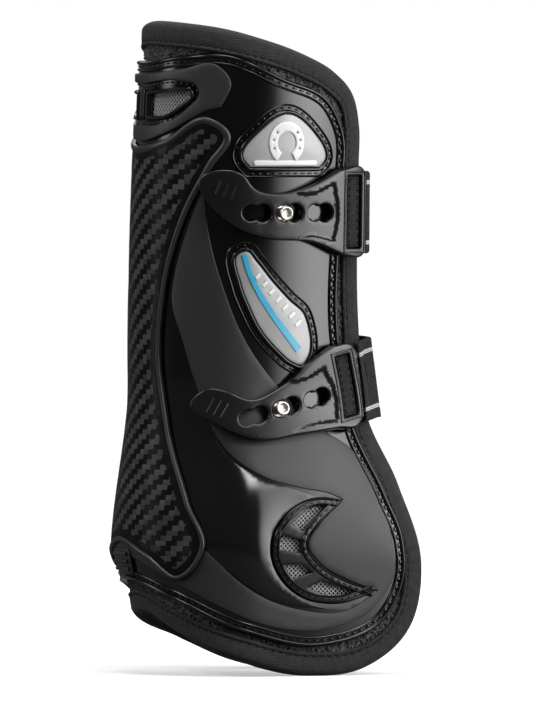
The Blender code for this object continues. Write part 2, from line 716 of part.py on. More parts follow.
def make_studs():
    head_low, head_high = STUD_HEAD_DEPTHS
    head = STUD_HEAD_DIAMETER / 2
    post = STUD_POST_DIAMETER / 2
    collar = STUD_COLLAR_DIAMETER / 2
    profile = [
        (0, STUD_FOOT_DEPTH),
        (post, STUD_FOOT_DEPTH),
        (post, GAP),
        (collar, GAP),
        (collar, STUD_COLLAR_TOP),
        (post, STUD_COLLAR_TOP),
        (post, head_low),
        (head, head_low),
        (head, head_high - STUD_HEAD_CHAMFER),
        (head - STUD_HEAD_CHAMFER, head_high),
        (0, head_high),
    ]
    barrel = STUD_SHELL_HOLE / 2 - TEE_NUT_BARREL_GAP
    flange = TEE_NUT_FLANGE / 2
    bore = post + TEE_NUT_BORE_GAP
    flange_top, flange_bottom = TEE_NUT_FLANGE_DEPTHS
    nut_profile = [
        (bore, flange_bottom),
        (flange, flange_bottom),
        (flange, flange_top),
        (barrel, flange_top),
        (barrel, TEE_NUT_BARREL_TOP),
        (bore, TEE_NUT_BARREL_TOP),
        (bore, flange_bottom),
    ]
    for strap, (girth, height) in zip(("upper", "lower"), stud_places()):
        stud = make_turned(f"{strap}_stud", profile, NICKEL, girth, height)
        cut_hex_recess(stud, girth, height)
        make_turned(f"{strap}_tee_nut", nut_profile, NICKEL, girth, height)


def cut_hex_recess(stud, girth, height):
    """Sinks a socket for a hexagon key into the stud's head."""
    radius = STUD_HEX_ACROSS_FLATS / 2 / math.cos(math.pi / 6)
    floor = STUD_HEAD_DEPTHS[1] - STUD_HEX_DEPTH
    top = STUD_HEAD_DEPTHS[1] + STUD_HEX_DEPTH
    profile = [(0, floor), (radius, floor), (radius, top), (0, top)]
    cutter = make_turned(f"{stud.name}_hex_cutter", profile, NICKEL, girth, height, segments=6)
    cutter.hide_render = True
    cutter.display_type = "WIRE"
    cut = stud.modifiers.new("hex_recess", "BOOLEAN")
    cut.operation = "DIFFERENCE"
    cut.solver = "EXACT"
    cut.object = cutter


def closure_inner(girth, height):
    """Depth of a closure's inner face, further off the shell towards its front end and its tail."""
    forward = smoothstep((girth - STUD_GIRTH) / (CLOSURE_FRONT_GIRTH - STUD_GIRTH))
    backward = smoothstep((CLOSURE_TAIL_RISE_GIRTH - girth) / CLOSURE_TAIL_RISE_LENGTH)
    return (
        CLOSURE_INNER_AT_STUD
        + (CLOSURE_INNER_AT_FRONT - CLOSURE_INNER_AT_STUD) * forward
        + (CLOSURE_INNER_AT_TAIL - CLOSURE_INNER_AT_STUD) * backward
    )


def closure_outer(girth, height):
    return closure_inner(girth, height) + CLOSURE_THICKNESS


def window_outline(strap, inset):
    """The opening at a closure's front end, where the elastic is sewn in."""
    if strap == "upper":
        return grown(rounded_rectangle(*UPPER_WINDOW, UPPER_WINDOW_CORNER_RADIUS), -inset)
    return grown(LOWER_WINDOW, -inset)


def swing_axis(strap):
    """The place where a closure hinges on its elastic."""
    girth = CLOSURE_FRONT_GIRTH - HINGE_BACK_FROM_FRONT
    height = strap_height(strap, girth)
    return on_boot(girth, height, CLOSURE_INNER_AT_FRONT + CLOSURE_THICKNESS + HINGE_OFF_CLOSURE)


def make_strap(strap, outline):
    tilt = strap_tilt(strap)
    pull = make_pivot(f"{strap}_strap_pull", swing_axis(strap))
    swing = make_pivot(f"{strap}_closure_swing", swing_axis(strap))
    step = (KEYHOLE_PITCH * math.cos(tilt), KEYHOLE_PITCH * math.sin(tilt))
    stud_height = strap_height(strap, STUD_GIRTH)
    holes = [keyhole(STUD_GIRTH + i * step[0], stud_height + i * step[1], tilt) for i in (-1, 0, 1)]
    loops = [smooth_loop(outline), window_outline(strap, 0), *holes]
    make_sheet(f"{strap}_closure", loops, (closure_outer, closure_inner), SATIN_BLACK, swing)
    filling = window_outline(strap, ELASTIC_END_GAP)
    make_sheet(f"{strap}_elastic_end", [filling], ELASTIC_END_DEPTHS, ELASTIC, swing)
    make_elastic(strap, pull)
    make_anchor(strap)


def make_elastic(strap, pull):
    """A woven band from the closure's front end, across the open front, to its anchor on the inner side."""
    tilt = strap_tilt(strap)
    crossing = ELASTIC_HALF_CROSSING
    half_width = ELASTIC_WIDTH / 2 / math.cos(tilt)
    leaves_bottom, leaves_top = ELASTIC_LEAVES_SHELL[strap]
    start_bottom, start_top = ELASTIC_START_GIRTHS[strap]

    def leaves(rise):
        return leaves_bottom + (leaves_top - leaves_bottom) * (rise + half_width) / (2 * half_width)

    def surface_place(girth, rise, depth):
        return on_boot(girth, strap_height(strap, girth) + rise, depth)

    def centre_place(along, rise, depth):
        side = 1 if along > 0 else -1
        if abs(along) > crossing:
            girth = side * (leaves(rise) - (abs(along) - crossing))
            return surface_place(girth, rise, depth)
        x, y, z = surface_place(side * leaves(rise), rise, depth)
        fraction = abs(along) / crossing
        lift = ELASTIC_BULGE * (1 - fraction**ELASTIC_BULGE_POWER)
        return (x + lift, y * fraction, z + lift * math.tan(tilt))

    def place(along, rise, depth):
        if abs(along) > crossing:
            return centre_place(along, rise, depth)
        middle = ELASTIC_DEPTHS[1]
        here = Vector(centre_place(along, rise, middle))
        ahead = Vector(centre_place(along + SLOPE_STEP, rise, middle))
        behind = Vector(centre_place(along - SLOPE_STEP, rise, middle))
        tangent = ahead - behind
        forward = Vector((-tangent.y, tangent.x, 0)).normalized()
        return tuple(here + forward * (depth - middle))

    outline = [
        (crossing + leaves_bottom - start_bottom, -half_width),
        (crossing + leaves_top - start_top, half_width),
        (ELASTIC_END_GIRTH - crossing - leaves_top, half_width),
        (ELASTIC_END_GIRTH - crossing - leaves_bottom, -half_width),
    ]
    holes = []
    for girth, height in rivet_places(strap):
        rise = height - strap_height(strap, girth)
        along = -(crossing + leaves(rise) + girth)
        holes.append(circle(along, rise, RIVET_HOLE_IN_ELASTIC, ROUND_HOLE_CORNERS))
    make_sheet(f"{strap}_elastic", [outline, *holes], ELASTIC_DEPTHS, ELASTIC, pull, place)


def make_anchor(strap):
    """The plate that clamps an elastic to the inner side of the shell, and its two rivets."""
    middle = strap_height(strap, RIVET_GIRTH)
    low = (RIVET_GIRTH - ANCHOR_WIDTH / 2, middle - ANCHOR_HEIGHT / 2)
    high = (RIVET_GIRTH + ANCHOR_WIDTH / 2, middle + ANCHOR_HEIGHT / 2)
    outline = rounded_rectangle(low, high, ANCHOR_CORNER_RADIUS)
    holes = [circle(*place, RIVET_HOLE_DIAMETER, ROUND_HOLE_CORNERS) for place in rivet_places(strap)]
    make_sheet(f"{strap}_anchor_plate", [outline, *holes], ANCHOR_DEPTHS, SATIN_BLACK)
    top = ANCHOR_DEPTHS[0] + RIVET_HEAD_GAP
    shank = RIVET_SHANK_DIAMETER / 2
    foot = RIVET_FOOT_DIAMETER / 2
    foot_bottom, foot_top = RIVET_FOOT_DEPTHS
    profile = [
        (0, foot_bottom),
        (foot, foot_bottom),
        (foot, foot_top),
        (shank, foot_top),
        (shank, top),
        (RIVET_HEAD_DIAMETERS[0] / 2, top),
        (RIVET_HEAD_DIAMETERS[1] / 2, top + RIVET_HEAD_HEIGHTS[0]),
        (0, top + RIVET_HEAD_HEIGHTS[1]),
    ]
    for end, (girth, height) in zip(("top", "bottom"), rivet_places(strap)):
        make_turned(f"{strap}_anchor_rivet_{end}", profile, NICKEL, girth, height, segments=12)


def clear_scene():
    for existing in list(bpy.data.objects):
        bpy.data.objects.remove(existing)


def main():
    clear_scene()
    make_shell()
    make_back_panels()
    make_vents()
    make_badges()
    make_gel()
    make_lining()
    make_binding()
    make_tendon_pad()
    make_studs()
    make_strap("upper", UPPER_CLOSURE)
    make_strap("lower", LOWER_CLOSURE)


main()
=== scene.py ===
"""The looks of the tendon boot: fine surfaces, fabric and materials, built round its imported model.

The boot is a skin bent round a horse's leg, so its pieces are drawn flat and then wrapped, in millimetres:
    girth   distance round the leg from the centre line of the back, positive on the outer side (-Y)
    height  distance above the boot's lowest point
    depth   distance out from the shell's outer face, negative towards the leg
Flat points are arrays of (girth, height). make_mesh turns millimetres into metres.
"""

import math

import bmesh
import bpy
import numpy as np
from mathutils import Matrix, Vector
from mathutils.geometry import delaunay_2d_cdt
from mathutils.kdtree import KDTree


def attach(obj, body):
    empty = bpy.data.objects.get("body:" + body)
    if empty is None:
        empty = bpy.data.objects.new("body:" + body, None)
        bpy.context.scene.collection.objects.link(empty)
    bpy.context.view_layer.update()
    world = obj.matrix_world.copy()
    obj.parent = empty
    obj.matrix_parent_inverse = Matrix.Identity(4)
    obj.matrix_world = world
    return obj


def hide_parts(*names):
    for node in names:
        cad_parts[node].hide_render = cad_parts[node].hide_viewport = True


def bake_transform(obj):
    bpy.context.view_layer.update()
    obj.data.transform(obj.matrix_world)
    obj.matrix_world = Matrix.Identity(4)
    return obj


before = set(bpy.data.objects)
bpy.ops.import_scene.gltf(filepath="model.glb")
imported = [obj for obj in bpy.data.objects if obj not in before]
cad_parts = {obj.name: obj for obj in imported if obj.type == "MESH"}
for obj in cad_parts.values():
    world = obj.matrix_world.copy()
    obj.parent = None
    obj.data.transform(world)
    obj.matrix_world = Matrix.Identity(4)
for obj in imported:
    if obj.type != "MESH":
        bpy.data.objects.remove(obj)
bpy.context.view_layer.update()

MILLIMETRE = 0.001

# The shell's cross-sections: centre of the back curve along X, its depth towards the back, half its width,
# the front edge along X and half the gap between the two front edges.
CANNON_SECTION = np.array([-13.5, 36.0, 37.3, 35.7, 27.0])
FETLOCK_SECTION = np.array([-14.8, 41.3, 48.7, 57.3, 41.5])
KNEE_SECTION = np.array([-10.5, 35.5, 40.5, 35.7, 28.0])
FETLOCK_HEIGHTS = (120.0, 45.0)
KNEE_HEIGHTS = (150.0, 262.0)

# Below the fetlock the back tucks in towards the pastern, and the inner side is cut a little shorter.
PASTERN_TUCK, TUCK_HEIGHTS, TUCK_GIRTH = 10.0, (52.0, 14.0), 62.0
INNER_BOTTOM_RISE, INNER_BOTTOM_HEIGHTS = 9.0, (62.0, 4.0)
INNER_TOP_DROP, INNER_TOP_HEIGHTS = 3.0, (215.0, 258.0)
INNER_CUT_GIRTHS = (0.0, 38.0, 62.0, 112.0)

# The table of places on the shell's outer face: its first height, last height, widest girth and its step.
LOWEST, HIGHEST, WIDEST, TABLE_STEP = -6.0, 270.0, 165.0, 0.5

# Depths, from the outside in.
PANEL = (1.65, 0.45)
MATTE = (0.42, 0.06)
SHELL = (0.0, -2.4)
GRILLE = (0.75, -0.9)
WIRE_DEPTH = -1.7
LINING_AT_EDGE, LINING_IN_POCKET, LINING_INNER = -2.8, -5.4, -8.0

# The bulge over the fetlock: its rise, and the depths of its rim, its back end and its underside.
BULGE_RISE, BULGE_RIM, BULGE_BACK, BULGE_BOTTOM = 1.8, 0.4, -0.15, -0.9
BULGE_FADE_GIRTHS = (34.0, 62.0)
FILM_STEPS = 900

# The carbon panel's tows, and the plain margin round them.
TOW_GIRTH, TOW_HEIGHT, TOW_CROWN, TWILL_MARGIN = 2.6, 2.0, 0.07, 4.6
BEAD_SWELLS = (165.0, 210.0)  # heights between which the panel's border bead grows broader

# The flange round the shell: beads as (name, inset, width, height), with stitches between them.
FLANGE_BEADS = (("outer", 0.9, 1.7, 1.0), ("inner", 3.7, 1.1, 0.75))
FLANGE_STITCH_INSET = 2.35
CRESCENT_BEADS = (("border", 0.3, 0.8, 0.75), ("rim", 2.35, 0.9, 0.9))
CRESCENT_STITCH_INSET = 1.35
WIRE_PITCH, WIRE_RADIUS = 1.3, 0.19
STUD_HOLE, RIVET_HOLE = 4.0, 2.5

# The lining's perforations and the knitted loops of the spacer fabric.
HOLE_PITCH, HOLE_RADIUS, HOLE_DEPTH = 7.5, 0.85, 0.9
LOOP_AREA, LOOP_REACH, LOOP_RELIEF = 1.6, 0.75, 0.55

# Studs, keyholes, closures and elastics.
STUD_GIRTH = 68.0
STUD_HEIGHTS = {"upper": 184.8, "lower": 106.0}
STRAP_TILTS = {"upper": 0.0, "lower": math.radians(15.5)}
SEAT_RADIUS, ENTRY_RADIUS, SEAT_TO_ENTRY = 3.25, 3.6, 4.6
KEYHOLE_PITCH, KEYHOLE_CORNERS = 13.3, 15
CLOSURE_THICKNESS = 3.0
CLOSURE_FRONT_GIRTH = 105.5
CLOSURE_TAIL = (60.0, 14.0)  # where the tail starts to lift off the shell, and over what length
CLOSURE_STANDOFFS = (1.6, 0.8, 0.9)
CLOSURE_STEP, CLOSURE_DISH = 0.75, 0.15  # the rise round the sunk panel, and how far it lies below the body
TAIL_RIBS = {"upper": (43.0, 195.0), "lower": (41.5, 107.5)}
TAIL_RIB_STEP, TAIL_RIB_REACH = (2.6, -1.1), (1.0, 2.9)
ELASTIC_END_TOP = 5.0
ELASTIC_HALF_WIDTH = 16.5
ELASTIC_DEPTHS = (2.9, 1.5)
ELASTIC_STARTS = {"upper": (106.3, 106.3), "lower": (108.2, 102.6)}  # girth at its bottom edge and at its top
ELASTIC_LEAVES_SHELL = {"upper": (109.0, 109.0), "lower": (116.0, 110.4)}
ELASTIC_END_GIRTH = 90.6  # just short of the rivets, under the anchor plate
HALF_CROSSING = 29.0
ELASTIC_BULGE = 1.5
ELASTIC_STRIPE = (11.2, 12.9)
RIBBON_STEP, RIB_PITCH, RIB_HEIGHT = 0.28, 1.15, 0.11
RIVET_GIRTH, RIVET_SPREAD = -88.0, 10.0
PAD_FACE_X, PAD_HALF_GIRTH, PAD_HEIGHTS = -35.5, 17.0, (112.0, 222.0)
PAD_INSET, PAD_SWELL, PAD_VOXEL, PAD_PRESSURE, PAD_FRAMES = 1.3, 1.1, 2.0, 4.0, 20
CHANNEL_HALF_WIDTH, CHANNEL_DEPTH = 1.6, 1.1

# Outlines, as (girth, height); a third item marks a sharp corner. A half outline runs from the centre line
# of the back at the top, round the front edge, to the centre line at the bottom.
LINING_HALF = [
    (0, 259.6), (20, 258.8), (42, 256.4), (60.5, 252.2), (80, 246), (94, 239.8), (103.6, 231.8), (107.6, 219),
    (107.5, 205), (107.5, 140), (112, 104), (129.2, 76.3), (142.3, 44), (136.6, 18.8), (117, 4.4), (92, 1.8),
    (55.5, 9.8), (22, 19.8), (0, 25.4),
]
SHELL_HALF = [
    (0, 245), (26, 247.3), (44, 247.8), (68, 238.5), (90, 229), (97, 218), (97, 190), (96, 134), (103, 102),
    (123, 72), (133, 54), (134.2, 42), (125.5, 23), (97, 12), (63, 18), (30, 31), (0, 38),
]
CARBON_HALF = [
    (0, 211), (19, 214), (38, 222.5), (46.5, 216), (40, 203), (30, 184), (20, 150), (18.5, 122),
    (25, 98), (39, 70), (48, 50), (37, 38.5), (20, 47), (0, 53),
]
TOP_PANEL_HALF = [
    (0, 240), (26, 242), (41, 243.5), (46.5, 237), (43, 227, "sharp"), (37, 225.5, "sharp"), (19, 216.5),
    (0, 213),
]
VENT_GROOVE_HALF = [
    (0, 236), (26.8, 237), (32.4, 235.6), (33.9, 232.2), (29.7, 227), (22.5, 222.2), (13.8, 219.9),
    (0, 219.4),
]
TOP_VENT = [
    (5.5, 232.3, "sharp"), (29.5, 234.2, "sharp"), (30.8, 231.8), (26, 227.2), (19.5, 223.6),
    (5.5, 222.4, "sharp"),
]
UPPER_BADGE = [
    (70, 226), (58, 219.5), (50, 206), (54, 201, "sharp"), (86, 201, "sharp"), (89.5, 205), (82, 219.5),
]
SHOE_CENTRE, SHOE_STRETCH = (69.6, 212.6), 1.12
SIDE_SWEEP = [(52.7, 168.2), (55.4, 160), (59.4, 152), (64.4, 144.5), (76, 130)]
SIDE_BADGE = [
    (50.2, 169.3), (54.4, 170.4), (58.6, 166.2), (65.2, 158.4), (73.2, 150.4), (79.6, 144.9), (81.4, 140.6),
    (81.3, 126.2), (78.2, 122.8), (73.6, 123.9), (66.1, 129.6), (58.9, 137.8), (53.9, 147.6), (50.8, 156),
]
CRESCENT = [
    (102.8, 69.8, "sharp"), (92, 70.6), (82, 66.6), (76, 58), (75.2, 49.5), (79.2, 39.6), (88.2, 32),
    (102.8, 29.2), (120.8, 33.8, "sharp"), (107, 38), (95.2, 44.8), (90, 53), (93.8, 60.4),
]
CRESCENT_OPENINGS = [
    [(97, 68.2, "sharp"), (89.5, 66.8), (82.3, 60.8, "sharp"), (87.5, 57.9, "sharp"), (91.3, 62.4)],
    [(78.7, 56.6, "sharp"), (78.2, 50.9, "sharp"), (87.3, 49.2, "sharp"), (87.1, 54.2, "sharp")],
    [(79.8, 44.6, "sharp"), (84.2, 38.8, "sharp"), (92.4, 41.4, "sharp"), (88.3, 44.6, "sharp")],
    [(90.6, 35.3, "sharp"), (98.2, 32.4), (112.5, 33.2, "sharp"), (104.5, 35.4), (96.6, 38, "sharp")],
]
MATTE_HALF = [
    (0, 56), (30, 52, "sharp"), (45, 53, "sharp"), (53, 46), (61, 38.5), (73, 31), (88, 26.5), (106, 25.6),
    (121.6, 33.7, "sharp"), (107.3, 38.8), (95.8, 45.4), (90.7, 53), (94.4, 60.1), (103.6, 70.2, "sharp"),
    (98, 72.4), (84, 75), (66, 80), (50, 90), (41, 101), (34, 116), (28, 134), (23, 150), (25, 163),
    (30, 179), (36.5, 196, "sharp"), (38.5, 178), (44.5, 156), (53.5, 134), (68, 115), (90, 98),
    (104, 90.5), (116, 79, "sharp"), (128, 54), (129.5, 42), (121, 28), (97, 18.5), (75, 20), (53, 28.5),
    (33, 38), (13, 46), (0, 48.5),
]
BULGE = [
    (42, 56, "sharp"), (53, 46), (62, 38.8), (73, 31.8), (86, 28), (101, 26.4, "sharp"), (88, 31.2),
    (78.5, 39), (74.4, 49.5), (75.2, 58.4), (81.6, 67.4), (92, 71.6, "sharp"), (83, 74.4), (66, 79),
    (49.5, 89), (38, 104, "sharp"), (30, 98, "sharp"), (36, 72),
]
UPPER_CLOSURE = [
    (37.5, 200), (44, 202), (51, 200.5), (56, 194.5), (68, 192.5), (81, 196), (93, 202, "sharp"),
    (103.5, 202.5), (105.5, 199, "sharp"), (105.5, 170, "sharp"), (103.5, 167.5), (95, 167.5, "sharp"),
    (80, 173), (62, 174.5), (48, 180),
]
LOWER_CLOSURE = [
    (34, 109.5), (40, 114.5), (46, 113.5), (55, 110), (68, 115.5), (80, 125), (90, 131.5, "sharp"), (98, 132),
    (101, 129, "sharp"), (105.5, 102, "sharp"), (103.5, 98.5), (94, 97.5, "sharp"), (78, 95.5), (62, 93.5),
    (46, 99),
]
CLOSURE_OUTLINES = {"upper": UPPER_CLOSURE, "lower": LOWER_CLOSURE}
CLOSURE_PANELS = {  # the lower-lying part round the keyholes, which runs out past the tail
    "upper": [
        (20, 215, "sharp"), (66, 200, "sharp"), (76, 192.3), (89.5, 196.3, "sharp"), (91.5, 184),
        (89.5, 173.5, "sharp"), (78, 175.3), (66, 168, "sharp"), (20, 160, "sharp"),
    ],
    "lower": [
        (20, 130, "sharp"), (62, 121, "sharp"), (74, 117.5), (85.5, 122.6, "sharp"), (91, 111.5),
        (93, 100.6, "sharp"), (79, 98.2), (66, 88, "sharp"), (20, 85, "sharp"),
    ],
}
CLOSURE_WINDOWS = {
    "upper": [
        (96, 199.5, "sharp"), (96, 170.5, "sharp"), (102.6, 170.5, "sharp"), (102.6, 199.5, "sharp"),
    ],
    "lower": [
        (90.5, 126.8, "sharp"), (96.3, 101.5, "sharp"), (102.8, 103.0, "sharp"), (97.0, 128.3, "sharp"),
    ],
}


# ---------------------------------------------------------------- the wrapped surface

def smoothstep(fraction):
    fraction = np.clip(fraction, 0.0, 1.0)
    return fraction * fraction * (3 - 2 * fraction)


def unit(vectors):
    return vectors / np.linalg.norm(vectors, axis=-1, keepdims=True)


def lengths_along(path):
    """The distance travelled to each point of a path."""
    return np.concatenate([[0], np.cumsum(np.linalg.norm(np.diff(path, axis=0), axis=1))])


def full_turn(steps):
    return np.linspace(0, 2 * math.pi, steps, endpoint=False)


def arc(radius, turn, stretch=1.0):
    """Points round (0, 0) at angles in radians, with their heights stretched."""
    return np.column_stack([radius * np.cos(turn), radius * stretch * np.sin(turn)])


def between_cells(table, column, row):
    """Values of a table of vectors at places between its cells."""
    left, below = column.astype(int), row.astype(int)
    across, up = (column - left)[:, None], (row - below)[:, None]
    lower = table[below, left] * (1 - across) + table[below, left + 1] * across
    upper = table[below + 1, left] * (1 - across) + table[below + 1, left + 1] * across
    return lower * (1 - up) + upper * up


def nearest_to(spots):
    """A function that gives, for flat points, the nearest spots' indices and how far off they are."""
    tree = KDTree(len(spots))
    for i, (x, y) in enumerate(spots):
        tree.insert((x, y, 0), i)
    tree.balance()

    def nearest(points):
        found = np.array([tree.find((x, y, 0))[1:] for x, y in points]).reshape(-1, 2)
        return found[:, 0].astype(int), found[:, 1]

    return nearest


def section(height):
    """The five section sizes at a height, blended between the cannon bone, the fetlock and the knee."""
    top, bottom = FETLOCK_HEIGHTS
    low, high = KNEE_HEIGHTS
    fetlock = smoothstep((top - height) / (top - bottom))
    knee = smoothstep((height - low) / (high - low))
    return (
        CANNON_SECTION
        + (FETLOCK_SECTION - CANNON_SECTION) * fetlock
        + (KNEE_SECTION - CANNON_SECTION) * knee
    )


def surface_table():
    """X and distance from the middle plane, for every height and girth of the table."""
    heights = np.arange(LOWEST, HIGHEST, TABLE_STEP)
    girths = np.arange(0, WIDEST, TABLE_STEP)
    turn = np.linspace(0, math.pi / 2, 240)
    run = np.linspace(0, 1.35, 240)[1:]
    table = np.zeros((len(heights), len(girths), 2))
    for row, height in enumerate(heights):
        centre, depth, width, front_x, front_gap = section(height)
        x = np.concatenate([centre - depth * np.cos(turn), centre + (front_x - centre) * run])
        y = np.concatenate([width * np.sin(turn), width - (width - front_gap) * run**2])
        lengths = lengths_along(np.column_stack([x, y]))
        table[row, :, 0] = np.interp(girths, lengths, x)
        table[row, :, 1] = np.interp(girths, lengths, y)
    return table


SURFACE = surface_table()


def outer_face(flat):
    """The places of flat points on the shell's outer face."""
    column = np.clip(np.abs(flat[:, 0]) / TABLE_STEP, 0, SURFACE.shape[1] - 1.001)
    row = np.clip((flat[:, 1] - LOWEST) / TABLE_STEP, 0, SURFACE.shape[0] - 1.001)
    place = between_cells(SURFACE, column, row)
    side = np.where(flat[:, 0] > 0, -1.0, 1.0)
    girth, height = flat[:, 0], flat[:, 1]
    top, bottom = TUCK_HEIGHTS
    tuck = PASTERN_TUCK * smoothstep((top - height) / (top - bottom))
    tuck *= 1 - smoothstep(abs(girth) / TUCK_GIRTH)
    shifted = height + inner_side_shift(girth, height)
    return np.column_stack([place[:, 0] + tuck, side * place[:, 1], shifted])


def inner_side_shift(girth, height):
    """How much higher points sit than their mirror images on the outer side."""
    first, full, fading, last = INNER_CUT_GIRTHS
    share = smoothstep((-girth - first) / (full - first)) * smoothstep((last + girth) / (last - fading))
    top, bottom = INNER_BOTTOM_HEIGHTS
    rise = INNER_BOTTOM_RISE * smoothstep((top - height) / (top - bottom))
    low, high = INNER_TOP_HEIGHTS
    drop = INNER_TOP_DROP * smoothstep((height - low) / (high - low))
    return share * (rise - drop)


def outward(flat):
    """The directions square to the shell's outer face."""
    along = outer_face(flat + (0.5, 0)) - outer_face(flat - (0.5, 0))
    up = outer_face(flat + (0, 0.5)) - outer_face(flat - (0, 0.5))
    return unit(np.cross(along, up))


def wrap(flat, depth):
    """The places of flat points at a depth, which is one number or one for each point."""
    return outer_face(flat) + outward(flat) * np.reshape(depth, (-1, 1))


def at(depth, flat):
    """A depth's value at flat points."""
    value = depth(flat) if callable(depth) else depth
    return np.broadcast_to(np.asarray(value, float), len(flat))


# ---------------------------------------------------------------- flat outlines

def resampled(points, spacing, closed):
    """Points spaced evenly along straight pieces, with the first point kept."""
    path = np.vstack([points, points[:1]]) if closed else np.asarray(points)
    lengths = lengths_along(path)
    count = max(int(round(lengths[-1] / spacing)), 1)
    wanted = np.linspace(0, lengths[-1], count + 1)
    even = np.column_stack([np.interp(wanted, lengths, path[:, axis]) for axis in range(path.shape[1])])
    return even[:-1] if closed else even


def signed_area(loop):
    following = np.roll(loop, -1, axis=0)
    return 0.5 * float((loop[:, 0] * following[:, 1] - following[:, 0] * loop[:, 1]).sum())


def smooth_curve(points, spacing=1.1, closed=True):
    """A smooth curve through points, sampled evenly between its sharp corners; a loop runs anticlockwise."""
    knots = np.array([point[:2] for point in points], float)
    sharp = [len(point) > 2 for point in points]
    count = len(knots)
    if not closed:
        sharp[0] = sharp[-1] = True

    def heading(i, leaving):
        before = knots[i] - knots[i - 1]
        after = knots[(i + 1) % count] - knots[i]
        if sharp[i]:
            return unit(after if leaving else before)
        return unit(unit(before) * np.linalg.norm(after) + unit(after) * np.linalg.norm(before))

    spans = []
    t = np.linspace(0, 1, 16, endpoint=False)[:, None]
    for i in range(count if closed else count - 1):
        end = (i + 1) % count
        chord = np.linalg.norm(knots[end] - knots[i])
        spans.append(
            knots[i] * (2 * t**3 - 3 * t**2 + 1)
            + heading(i, True) * chord * (t**3 - 2 * t**2 + t)
            + knots[end] * (3 * t**2 - 2 * t**3)
            + heading(end, False) * chord * (t**3 - t**2)
        )
    if not closed:
        return resampled(np.vstack([*spans, knots[-1:]]), spacing, False)
    first = sharp.index(True) if True in sharp else 0
    spans = spans[first:] + spans[:first]
    sharp = sharp[first:] + sharp[:first]
    pieces, run = [], []
    for i, span in enumerate(spans):
        run.append(span)
        following = (i + 1) % count
        if following == 0 or sharp[following]:
            run.append(spans[following][:1])
            pieces.append(resampled(np.vstack(run), spacing, False)[:-1])
            run = []
    loop = np.vstack(pieces)
    return loop if signed_area(loop) > 0 else loop[::-1]


def both_sides(half):
    """A half outline joined to its mirror image across the centre line of the back."""
    return half + [(-point[0], *point[1:]) for point in reversed(half[1:-1])]


def mirrored(loop):
    return (loop * (-1, 1))[::-1]


def outer_and_inner(loop):
    """A loop on the outer side and its mirror image on the inner side, each after its side's name."""
    return ("outer", loop), ("inner", mirrored(loop))


def circle(girth, height, radius, corners=28):
    return arc(radius, full_turn(corners)) + (girth, height)


def rounded_rectangle(low, high, radius, spacing=1.0):
    """A rectangle from low to high, as (girth, height), with rounded corners."""
    corners = []
    for x, y, start in ((1, 1, 0), (0, 1, 90), (0, 0, 180), (1, 0, 270)):
        centre = (high[0] - radius if x else low[0] + radius, high[1] - radius if y else low[1] + radius)
        corners.append(arc(radius, np.radians(start + np.linspace(0, 90, 9))) + centre)
    return resampled(np.vstack(corners), spacing, True)


def mitres(path, closed=True):
    """How far each point moves when a path's sides all move by one to its right, which is out of a loop."""
    before = path - np.roll(path, 1, axis=0)
    after = np.roll(path, -1, axis=0) - path
    if not closed:
        before[0], after[-1] = after[0], before[-1]
    before, after = unit(before), unit(after)
    turning = np.clip((before * after).sum(axis=1, keepdims=True), -0.8, 1)
    shift = (before + after) / (1 + turning)
    return np.column_stack([shift[:, 1], -shift[:, 0]])


def grown(loop, distance):
    return loop + mitres(loop) * distance


def keyhole(girth, height, tilt):
    """Two overlapping round holes: the seat at the given point, and its wider entry further forward."""
    waist = (SEAT_TO_ENTRY**2 + SEAT_RADIUS**2 - ENTRY_RADIUS**2) / (2 * SEAT_TO_ENTRY)
    seat_turn = math.acos(waist / SEAT_RADIUS)
    entry_turn = math.acos((SEAT_TO_ENTRY - waist) / ENTRY_RADIUS)
    seat = np.linspace(seat_turn, 2 * math.pi - seat_turn, KEYHOLE_CORNERS)
    entry = np.linspace(entry_turn - math.pi, math.pi - entry_turn, KEYHOLE_CORNERS)[1:-1]
    across, up = np.vstack([arc(SEAT_RADIUS, seat), arc(ENTRY_RADIUS, entry) + (SEAT_TO_ENTRY, 0)]).T
    cosine, sine = math.cos(tilt), math.sin(tilt)
    return np.column_stack([girth + across * cosine - up * sine, height + across * sine + up * cosine])


def inside(loops, points):
    """Whether each point is in the first loop and in none of the others."""
    found = np.zeros(len(points), bool)
    for loop in loops:
        for start, end in zip(loop, np.roll(loop, -1, axis=0)):
            if start[1] == end[1]:
                continue
            spans = (start[1] <= points[:, 1]) != (end[1] <= points[:, 1])
            reach = start[0] + (points[:, 1] - start[1]) * (end[0] - start[0]) / (end[1] - start[1])
            found ^= spans & (points[:, 0] < reach)
    return found


def distances(loops, points):
    """How far each point is from the nearest of the loops."""
    starts = np.vstack(loops)
    ends = np.vstack([np.roll(loop, -1, axis=0) for loop in loops])
    befores = np.vstack([np.roll(loop, 1, axis=0) for loop in loops])
    nearest, _ = nearest_to(starts)(points)
    best = np.full(len(points), np.inf)
    for others in (ends, befores):
        start, along = starts[nearest], others[nearest] - starts[nearest]
        fraction = ((points - start) * along).sum(axis=1) / (along**2).sum(axis=1)
        closest = start + along * np.clip(fraction, 0, 1)[:, None]
        best = np.minimum(best, np.linalg.norm(points - closest, axis=1))
    return best


